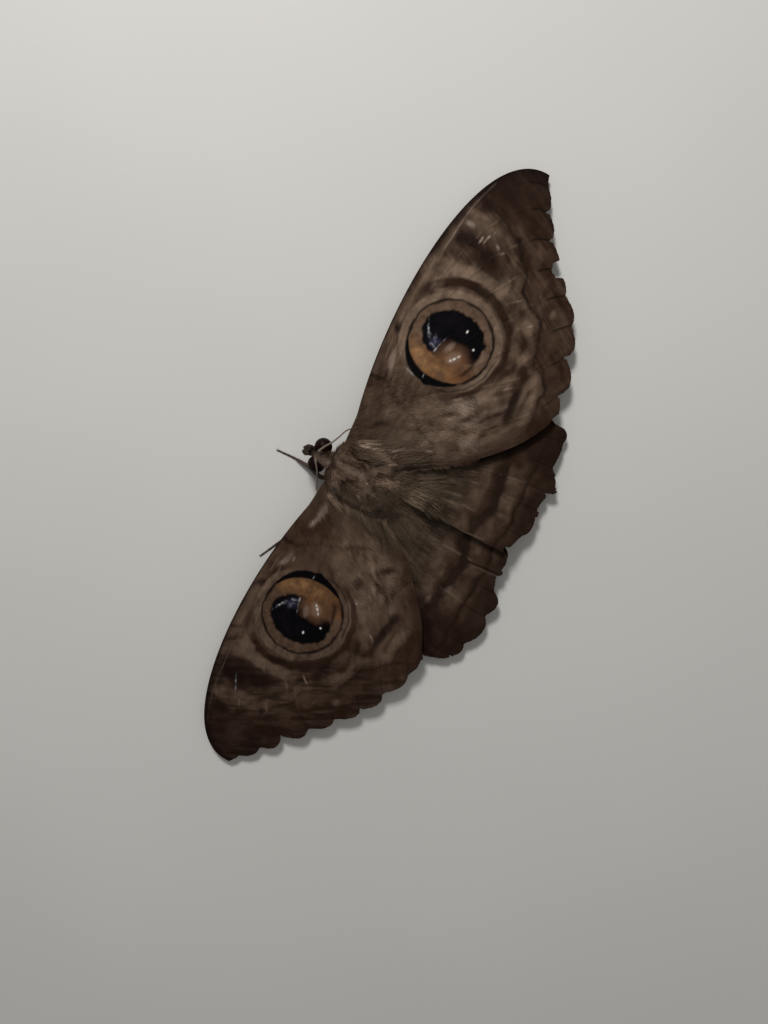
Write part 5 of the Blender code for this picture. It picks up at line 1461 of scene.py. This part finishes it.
def add_fringe(pair, side, material, ink, count):
    """Short fringe of scales along a wing's outer margin, shorter in places."""
    draw = np.random.default_rng(TUFT_SEED + 40 + 2*(pair == "fore") + (side == "left"))
    v = np.sort(draw.uniform(0.01, 1.0 if pair == "hind" else 0.99, count))
    fullness = 0.5 + 0.5*noise(40.0*v, 0.0*v, 1.0, 50 if side == "left" else 51)
    u = np.full(count, 0.997)
    point, normal, outward, _, x, y = wing_frame(pair, side, u, v)
    step = 1e-3
    ahead = wing_frame(pair, side, u, np.minimum(v + step, 1.0))[0]
    behind = wing_frame(pair, side, u, np.maximum(v - step, 0.0))[0]
    tangent = unit(ahead - behind)
    away = np.cross(tangent, normal)
    away *= np.sign(np.sum(away*outward, axis=-1, keepdims=True))
    direction = unit(away + 0.25*draw.normal(size=(count, 1))*tangent - 0.1*normal)
    lift = np.stack([0*v, 0*v, -0.5*MEMBRANE + 0.1*draw.uniform(-1.0, 1.0, count)], -1)
    length = draw.uniform(0.12, 0.3, count)*(0.5 + 0.7*fullness)
    points, faces = tuft_mesh(point + lift - 0.1*direction, direction, normal, length,
                              draw.uniform(0.06, 0.11, count), 0.0, 0.3)
    colours = tint(wing_colour(pair, side, x, y, v, ink), draw, 0.25)
    bake = np.stack([np.full(count, 0.985), 0.02 + 0.96*v], -1)
    return add_piece(f"{pair}wing_{side}_fringe", points, faces, material, colours,
                     bake_places(bake))


def swept(path, radii, steps):
    """A smooth curve through a path's points: places, radii, tangents and two directions across it."""
    points = np.array(path, float)
    radii = np.array(radii, float)
    ends = np.concatenate([[2*points[0] - points[1]], points, [2*points[-1] - points[-2]]])
    t = np.linspace(0.0, 1.0, steps, endpoint=False)[:, None]
    curve, width = [], []
    for k in range(len(points) - 1):
        p0, p1, p2, p3 = ends[k:k + 4]
        curve.append(0.5*(2*p1 + (p2 - p0)*t + (2*p0 - 5*p1 + 4*p2 - p3)*t**2
                          + (3*p1 - p0 - 3*p2 + p3)*t**3))
        width.append(radii[k] + (radii[k + 1] - radii[k])*t[:, 0])
    curve = np.concatenate(curve + [points[-1:]])
    width = np.concatenate(width + [radii[-1:]])
    tangent = unit(np.gradient(curve, axis=0))
    reach = points[-1] - points[0]
    level = np.array([-reach[1], reach[0], 0.0])
    across = unit(level - (tangent @ level)[:, None]*tangent)
    upward = np.cross(across, tangent)
    return curve, width, tangent, across, upward


def tube(path, radii, sides, steps, swell=None):
    """Closed tube along a path, its radius times a swell worked out from the share of its length."""
    curve, width, _, across, upward = swept(path, radii, steps)
    along = np.concatenate([[0.0], np.cumsum(np.linalg.norm(np.diff(curve, axis=0), axis=1))])
    if swell is not None:
        width = width*swell(along/along[-1], along)
    angle = 2.0*math.pi*(np.arange(sides) + 0.5)/sides
    rings = (curve[:, None] + width[:, None, None]
             * (across[:, None]*np.cos(angle)[:, None] + upward[:, None]*np.sin(angle)[:, None]))
    return closed_rings(rings)


def add_eyes(material):
    """Two large round eyes: balls of rings round a sideways axis, closed by fans at both poles."""
    for side, sign in SIDES.items():
        polar = math.pi*np.linspace(0.0, 1.0, EYE_GRID[0] + 2)[1:-1]
        around = 2.0*math.pi*np.arange(EYE_GRID[1])/EYE_GRID[1]
        p, a = np.meshgrid(polar, around, indexing="ij")
        ball = np.stack([np.cos(p), np.sin(p)*np.cos(a), np.sin(p)*np.sin(a)], -1)
        flat, faces, caps = closed_rings(EYE_RADIUS*ball + EYE_CENTRE)
        flat[:, 0] *= sign
        if sign < 0:
            faces, caps = faces[:, ::-1], caps[:, ::-1]
        add_piece("eye_ball_" + side, head_frame(flat), [faces, caps], material,
                  nodes=("eye_" + side,))


def add_palps(material, fur, ink):
    """Two upturned palps: a tapering core each, under close scales that point up and are combed
    forwards over the tip, so that both meet in one rounded brush before the face."""
    draw = np.random.default_rng(TUFT_SEED + 60)
    for side, sign in SIDES.items():
        path = np.array(PALP_PATH)*(0.82*sign, 1.0, 1.0)
        core = np.array(PALP_RADII) + (0.0, 0.04, 0.08, 0.1, 0.12)
        points, faces, caps = tube(path, core, 20, 8)
        points = head_frame(points)
        colours = np.tile(ink["palp"], (len(points), 1))
        add_piece("palp_core_" + side, points, [faces, caps], material, colours,
                  nodes=("palp_" + side,))
        curve, width, tangent, across, upward = swept(path, core, 24)
        count = PALP_SCALES
        pick = np.minimum((len(curve)*draw.uniform(size=count)**0.7).astype(int), len(curve) - 1)
        pick[:count//4] = len(curve) - 1
        angle = draw.uniform(0.0, 2.0*math.pi, count)
        tip = ease((pick/len(curve) - 0.7)/0.25)
        normal = across[pick]*np.cos(angle)[:, None] + upward[pick]*np.sin(angle)[:, None]
        inset = draw.uniform(0.0, 1.0, count)**0.5
        radius = np.where(pick > 0.97*len(curve), width[pick]*inset, width[pick] - 0.04)
        root = curve[pick] + normal*radius[:, None]
        inward = np.array([-0.55*sign, 0.0, 0.0])*np.clip(sign*root[:, 0] - 0.1, 0.0, 1.0)[:, None]
        combed = np.array([0.0, -1.0, 0.3]) + inward
        direction = (tangent[pick]*(1.0 - tip)[:, None] + combed*tip[:, None]
                     + normal*draw.uniform(0.05, 0.3, count)[:, None] + inward*0.6)
        direction = unit(direction)
        lift = normal*(1.0 - tip)[:, None] + np.array([0.0, 0.0, 1.0])*tip[:, None]
        points, faces = tuft_mesh(root, direction, lift, draw.uniform(0.24, 0.5, count),
                                  draw.uniform(0.05, 0.09, count), -0.1, 0.3)
        shade = mix(np.tile(1.15*ink["palp"], (count, 1)), ink["bark"], 0.3*tip)
        bake = unwrap(pick/len(curve), angle/(2.0*math.pi))
        add_piece("palp_scales_" + side, head_frame(points), faces, fur,
                  tint(shade, draw, 0.24), bake_places(bake))


def add_head_fur(material, ink, count):
    """Close scales over crown, nape and face, smallest in front; those beside the eyes lap over them."""
    draw = np.random.default_rng(TUFT_SEED + 70)
    y = draw.uniform(HEAD_FRONT_Y + 0.06, HEAD_REAR_Y + 0.7, count)
    angle = draw.uniform(0.0, 2.0*math.pi, count)
    most = 13*count//20
    angle[:most] = math.pi*(0.5 + 0.26*draw.uniform(-1.0, 1.0, most))
    root, normal = body_point(y, angle)
    front = ease((-12.6 - y)/0.9)
    edge = np.clip((root[:, 0] - HEAD_SHIFT_X)/0.7, -1.0, 1.0)*(root[:, 2] > HEAD_CENTRE_Z + 0.6)
    back = np.stack([1.2*edge + 0.25*draw.normal(size=count), np.ones(count), 0.0*y], -1)
    upward = np.stack([0.6*edge, np.full(count, -0.3), np.ones(count)], -1)
    flow = back*(1 - front)[:, None] + upward*front[:, None]
    flow = along_skin(flow, normal)
    raised = draw.uniform(0.2, 0.65, count) + 0.5*np.abs(edge)*(1.0 - front)
    direction = unit(flow + normal*raised[:, None])
    length = (0.78 - 0.36*front)*draw.uniform(0.7, 1.2, count)
    points, faces = tuft_mesh(root - 0.05*normal, direction, normal, length,
                              draw.uniform(0.07, 0.12, count), -0.15, 0.3)
    clump = rough(1.5*root[:, 0], y, 0.8, 71, 3)
    shade = mix(np.tile(1.05*ink["fur"], (count, 1)), ink["rosy"], 0.16 + 0.35*clump)
    shade = mix(shade, ink["bark"], 0.6*ease((-clump - 0.1)*2.5))
    return add_piece("head_fur", points, faces, material, tint(shade, draw, 0.24),
                     bake_places(body_unwrap(y, angle)))


def add_abdomen_fur(material, ink, count):
    """Flat overlapping scales on the abdomen, shorter towards its tip."""
    draw = np.random.default_rng(TUFT_SEED + 80)
    y = draw.uniform(3.0, ABDOMEN_END_Y - 0.5, count)
    angle = draw.uniform(0.0, 2.0*math.pi, count)
    root, normal = body_point(y, angle)
    back = np.array([0.0, 1.0, -0.05]) + 0.08*draw.normal(size=(count, 3))
    flow = along_skin(back, normal)
    direction = unit(flow + normal*draw.uniform(0.03, 0.16, count)[:, None])
    length = draw.uniform(0.7, 1.2, count)*(1.0 - 0.35*ease((y - 15.0)/4.0))
    points, faces = tuft_mesh(root - 0.05*normal, direction, normal, length,
                              draw.uniform(0.12, 0.2, count), -0.08, 0.3)
    shade = body_colour(root[:, 0], root[:, 1], root[:, 2], ink)
    return add_piece("abdomen_fur", points, faces, material, tint(shade, draw, 0.25),
                     bake_places(body_unwrap(y, angle)))


def add_feelers(material, ink):
    """Thread-like feelers: many short joints, each swelling a little at its end."""
    def swell(share, along):
        return 1.0 + 0.08*np.abs(np.sin(math.pi*along/0.3)) - 0.04

    for side, sign in SIDES.items():
        path = [FEELER_ROOT[side]] + [(sign*x, y, z) for x, y, z in FEELER_PATH]
        radii = np.linspace(0.15, 0.07, len(path))
        radii[0] = 0.22
        points, faces, caps = tube(path, radii, FEELER_SIDES, 60, swell)
        on_rings = len(points) - 2
        shade = 0.85 + 0.1*np.sin(2.0*math.pi*np.arange(on_rings)/FEELER_SIDES/3.0)
        shade = np.append(shade, [0.8, 0.8])
        add_piece("feeler_" + side, points, [faces, caps], material, ink["feeler"]*shade[:, None],
                  nodes=("antenna_" + side,))


def foot_swell(share, along):
    """Slimmer behind the shin, with a knob at each joint of the foot."""
    foot = ease((share - FOOT_FROM)/0.06)
    joints = np.abs(np.sin(math.pi*(share - FOOT_FROM)/0.07))
    return 1.0 - foot*(0.3 - 0.18*joints)


def claw_pair(tip, ahead, beside):
    """Points and triangles of the two small hooks at a foot's tip, each a tube of six sides."""
    for turn in (-1.0, 1.0):
        spread = unit(ahead + 0.8*turn*beside)
        arc = [tip - 0.1*ahead, tip + 0.12*spread + (0, 0, 0.05), tip + 0.26*spread,
               tip + 0.34*spread - (0, 0, 0.12)]
        hook, quads, caps = tube(arc, (0.06, 0.05, 0.035, 0.01), 6, 4)
        hook[:, 2] = np.maximum(hook[:, 2], 0.01)
        yield hook, np.concatenate([quads[:, [0, 1, 2]], quads[:, [0, 2, 3]], caps])


def add_legs(material, fur, claw, ink):
    """Six legs: hip, thigh, shin and jointed foot in one tapering tube, close scales and claws."""
    draw = np.random.default_rng(TUFT_SEED + 90)
    claws, claw_faces, claw_count = [], [], 0
    for name, solid_path in LEG_PATHS.items():
        path = np.array(solid_path)
        path[path[:, 2] < 0.3, 2] = SOLE_AXIS_Z
        core = np.array(LEG_RADII) - 0.05
        core[-1] = 0.13
        points, faces, caps = tube(path, core, 16, 20, foot_swell)
        points[:, 2] = np.maximum(points[:, 2], 0.0)
        ring = np.append(np.repeat(np.arange((len(points) - 2)//16), 16), [0, 0])
        bands = 0.5 + 0.5*np.sin(2.0*math.pi*ring/13.0)
        colours = ink["leg"]*(1.0 - 0.35*bands*(ring > FOOT_FROM*ring.max()))[:, None]
        add_piece(name + "_core", points, [faces, caps], material, colours, nodes=(name,))

        curve, width, tangent, across, upward = swept(path, core, 24)
        count = LEG_SCALES
        pick = draw.integers(2, int(0.97*len(curve)), count)
        angle = draw.uniform(0.0, 2.0*math.pi, count)
        normal = across[pick]*np.cos(angle)[:, None] + upward[pick]*np.sin(angle)[:, None]
        share = pick/len(curve)
        root = curve[pick] + normal*(0.9*width[pick]*(1.0 - 0.25*(share > FOOT_FROM)))[:, None]
        direction = unit(tangent[pick] + normal*draw.uniform(0.03, 0.16, count)[:, None])
        length = np.where(share < FOOT_FROM, draw.uniform(0.25, 0.5, count),
                          draw.uniform(0.12, 0.25, count))
        points, faces = tuft_mesh(root, direction, normal, length,
                                  draw.uniform(0.06, 0.11, count), -0.05, 0.3)
        points[:, 2] = np.maximum(points[:, 2], 0.01)
        shade = tint(np.tile(ink["leg"], (count, 1)), draw, 0.3)
        add_piece(name + "_scales", points, faces, fur, shade,
                  bake_places(unwrap(share, angle/(2.0*math.pi))))

        for hook, hook_faces in claw_pair(curve[-1], tangent[-1], across[-1]):
            claws.append(hook)
            claw_faces.append(hook_faces + claw_count)
            claw_count += len(hook)
    add_piece("claws", np.concatenate(claws), np.concatenate(claw_faces), claw)


def colour_setting(label, meaning, code):
    """A colour that the user can change."""
    return bpy.props.FloatVectorProperty(name=label, description=meaning, subtype="COLOR", size=3,
                                         min=0.0, max=1.0, default=srgb(code))


def count_setting(label, meaning, count):
    """A number of tufts that the user can change."""
    return bpy.props.IntProperty(name=label, description=meaning, default=count, min=100)


class MothColours(bpy.types.PropertyGroup):
    """Colours of the scales, the fur and the eyes"""
    brown: colour_setting("Ground", "Main brown of the wings", "433329")
    # Tan also paints highlights on the wings' folds and creases and on the rear hair's ridge.
    tan: colour_setting("Tan", "Pale bands and woolly patches", "746253")
    bark: colour_setting("Bark", "Dark brown bands and margins", "291a12")
    # Soot also paints the shade and shadows on the wings and in the fur's valleys.
    soot: colour_setting("Soot", "Darkest lines and blotches", "130b08")
    olive: colour_setting("Olive", "Olive-grey hair of wing bases", "4a3f34")
    ochre: colour_setting("Ochre", "Glow of the eyespot", "6e4c30")
    ochre_dark: colour_setting("Dark ochre", "Outer ring of the eyespot", "493326")
    ochre_pale: colour_setting("Pale ochre", "Brightest part of the eyespot", "876546")
    umber: colour_setting("Umber", "Shaded edge of the eyespot's lobe", "20130d")
    rosy: colour_setting("Rosy", "Pink-tan streaks on shoulders and wings", "9a877b")
    black: colour_setting("Black", "Pupil and crescent", "050406")
    purple: colour_setting("Purple", "Dark sheen of the whole pupil", "150f19")
    blue: colour_setting("Blue", "Sheen at the pupil's body side", "33334a")
    silver: colour_setting("Silver", "Worn pale streaks in the pupil", "a8a8b0")
    white: colour_setting("White", "White dots of the eyespot", "f0eee8")
    fur: colour_setting("Fur", "Fur of the thorax", "4c3d33")
    palp: colour_setting("Palp", "Scales of the palps", "3f352d")
    feeler: colour_setting("Feeler", "Feelers", "75685b")
    leg: colour_setting("Leg", "Scales of the legs", "51453c")
    eye: colour_setting("Eye", "Eyes", "0e0504")


class MothSizes(bpy.types.PropertyGroup):
    """Numbers of tufts, the camera's height and the light's power"""
    fur_tufts: count_setting("Fur tufts", "Tufts on the thorax", 18000)
    long_tufts: count_setting("Long tufts", "Long hairs behind the thorax", 12400)
    wool_tufts: count_setting("Wool tufts", "Tufts tried on the base of each wing", 24000)
    fringe_tufts: count_setting("Fringe tufts", "Fringe scales on each wing", 1800)
    head_tufts: count_setting("Head tufts", "Tufts on the head", 4200)
    abdomen_tufts: count_setting("Abdomen tufts", "Scales on the abdomen", 4000)
    camera_height: bpy.props.FloatProperty(
        name="Camera height", description="Height of the camera over the floor",
        default=0.1274, unit="LENGTH", subtype="DISTANCE")
    light_power: bpy.props.FloatProperty(
        name="Light power", description="Power of the main soft light", default=1.1, min=0.0)


def inks():
    """The scene's colours by name."""
    group = bpy.context.scene.moth_colours
    return {name: np.array(getattr(group, name)[:]) for name in MothColours.__annotations__}


class MothOperator:
    """What all of the moth's operators share."""
    bl_options = {"REGISTER"}

    @classmethod
    def poll(cls, context):
        return context.scene is not None


class MOTH_OT_wings(MothOperator, bpy.types.Operator):
    """Make the four patterned wing membranes"""
    bl_idname = "moth.wings"
    bl_label = "Wings"

    def execute(self, context):
        for pair in WING_GRID:
            for side in SIDES:
                add_wing(pair, side, finish("wing_scales_finish"), inks())
        return {"FINISHED"}


class MOTH_OT_wing_coat(MothOperator, bpy.types.Operator):
    """Make the wool on the wing bases and the fringes of the margins"""
    bl_idname = "moth.wing_coat"
    bl_label = "Wing coat"

    def execute(self, context):
        sizes, fur, ink = context.scene.moth_sizes, finish("body_fur"), inks()
        wool_tufts = {"fore": sizes.wool_tufts, "hind": sizes.wool_tufts//2}
        for pair in WING_GRID:
            for side in SIDES:
                add_wing_wool(pair, side, fur, ink, wool_tufts[pair])
                add_fringe(pair, side, fur, ink, sizes.fringe_tufts)
        return {"FINISHED"}


class MOTH_OT_body(MothOperator, bpy.types.Operator):
    """Make the body's skin with the fur of head, thorax and abdomen"""
    bl_idname = "moth.body"
    bl_label = "Body"

    def execute(self, context):
        sizes, fur, ink = context.scene.moth_sizes, finish("body_fur"), inks()
        add_body_skin(finish("body_skin_finish"), ink)
        add_thorax_fur(fur, ink, sizes.fur_tufts)
        for number, (side, sign) in enumerate(SIDES.items()):
            add_long_hair(fur, ink, sizes.long_tufts//2, "long_hair_" + side, TUFT_SEED + 1 + number, sign)
        add_head_fur(fur, ink, sizes.head_tufts)
        add_abdomen_fur(fur, ink, sizes.abdomen_tufts)
        return {"FINISHED"}


class MOTH_OT_head(MothOperator, bpy.types.Operator):
    """Make eyes, palps and feelers"""
    bl_idname = "moth.head"
    bl_label = "Eyes, palps and feelers"

    def execute(self, context):
        ink = inks()
        add_eyes(eye_material(ink["eye"]))
        add_palps(finish("palp_finish"), finish("body_fur"), ink)
        add_feelers(finish("feeler_finish"), ink)
        return {"FINISHED"}


class MOTH_OT_legs(MothOperator, bpy.types.Operator):
    """Make the six legs with their scales and claws"""
    bl_idname = "moth.legs"
    bl_label = "Legs"

    def execute(self, context):
        ink = inks()
        add_legs(finish("leg_finish"), finish("body_fur"), claw_material(ink["eye"]), ink)
        return {"FINISHED"}


class MOTH_OT_stage(MothOperator, bpy.types.Operator):
    """Make the pale floor, the soft lights and the camera"""
    bl_idname = "moth.stage"
    bl_label = "Stage"

    def execute(self, context):
        sizes = context.scene.moth_sizes
        add_floor()
        add_lights(sizes.light_power)
        add_camera(sizes.camera_height)
        return {"FINISHED"}


def add_floor():
    """Broad pale floor with a trace of mottling."""
    half = 1.5
    corners = [(-half, -half, 0), (half, -half, 0), (half, half, 0), (-half, half, 0)]
    mesh = bpy.data.meshes.new("floor")
    mesh.from_pydata(corners, [], [(0, 1, 2, 3)])
    material, shader = new_material("floor_paint", 0.7, 0.2)
    cloudy_base(material.node_tree, shader, 18.0, (0.60, 0.595, 0.575), (0.66, 0.655, 0.635))
    mesh.materials.append(material)
    floor = bpy.data.objects.new("floor", mesh)
    bpy.context.collection.objects.link(floor)


def placed(right, up, back, place):
    """Matrix that turns an object to three axes and puts it at a place."""
    return Matrix([[right[k], up[k], back[k], place[k]] for k in range(3)] + [[0, 0, 0, 1]])


def add_area_light(name, towards, distance, size, power, colour):
    """Square soft light at a distance along a direction, facing the moth."""
    light = bpy.data.lights.new(name, "AREA")
    light.size = size
    light.energy = power
    light.color = colour
    lamp = bpy.data.objects.new(name, light)
    back = unit(np.array(towards, float))
    right = unit(np.cross((0.0, 0.0, 1.0), back))
    lamp.matrix_world = placed(right, np.cross(back, right), back, distance*back)
    bpy.context.collection.objects.link(lamp)


def add_lights(power):
    """A main soft light from ahead of the moth, a weak one from behind, and an even pale surround."""
    for name, towards, distance, size, share, colour in LIGHTS:
        add_area_light(name, towards, distance, size, share*power, colour)
    scene = bpy.context.scene
    scene.view_settings.view_transform = "Standard"
    world = scene.world or bpy.data.worlds.new("surround")
    scene.world = world
    world.use_nodes = True
    surround = world.node_tree.nodes["Background"]
    surround.inputs["Color"].default_value = (1.0, 0.98, 0.95, 1.0)
    surround.inputs["Strength"].default_value = 0.22


def add_camera(height):
    """Camera over the moth, a little to its right, turned as the photo was taken."""
    right = (-0.4673, 0.8837, -0.0271)
    up = (-0.8757, -0.4669, -0.1231)
    back = (-0.1215, -0.0338, 0.9920)
    place = (-0.01152, -0.00306 - PLAN_MIDDLE_Y*MM, height)
    data = bpy.data.cameras.new("camera")
    data.lens = 27.04
    data.sensor_width = 36.0
    data.clip_start = 0.005
    data.clip_end = 10.0
    camera = bpy.data.objects.new("camera", data)
    camera.matrix_world = placed(right, up, back, place)
    bpy.context.collection.objects.link(camera)
    bpy.context.scene.camera = camera


class MOTH_PT_panel(bpy.types.Panel):
    """Lists the steps that dress the moth"""
    bl_idname = "MOTH_PT_panel"
    bl_label = "Owl Moth"
    bl_space_type = "VIEW_3D"
    bl_region_type = "UI"
    bl_category = "Moth"

    def draw(self, context):
        for operator in OPERATORS:
            self.layout.operator(operator.bl_idname)
        for group in (context.scene.moth_sizes, context.scene.moth_colours):
            for name in group.__annotations__:
                self.layout.prop(group, name)


OPERATORS = (MOTH_OT_stage, MOTH_OT_wings, MOTH_OT_wing_coat, MOTH_OT_body, MOTH_OT_head, MOTH_OT_legs)
CLASSES = (MothColours, MothSizes) + OPERATORS + (MOTH_PT_panel,)


def register():
    """Make the moth's settings, steps and panel known to Blender."""
    for cls in CLASSES:
        bpy.utils.register_class(cls)
    bpy.types.Scene.moth_colours = bpy.props.PointerProperty(type=MothColours)
    bpy.types.Scene.moth_sizes = bpy.props.PointerProperty(type=MothSizes)


def unregister():
    """Take them away again."""
    del bpy.types.Scene.moth_sizes
    del bpy.types.Scene.moth_colours
    for cls in reversed(CLASSES):
        bpy.utils.unregister_class(cls)


def main():
    """Dress the moth step by step."""
    register()
    bpy.ops.moth.stage()
    bpy.ops.moth.wings()
    bpy.ops.moth.wing_coat()
    bpy.ops.moth.body()
    bpy.ops.moth.head()
    bpy.ops.moth.legs()


if __name__ == "__main__":
    main()
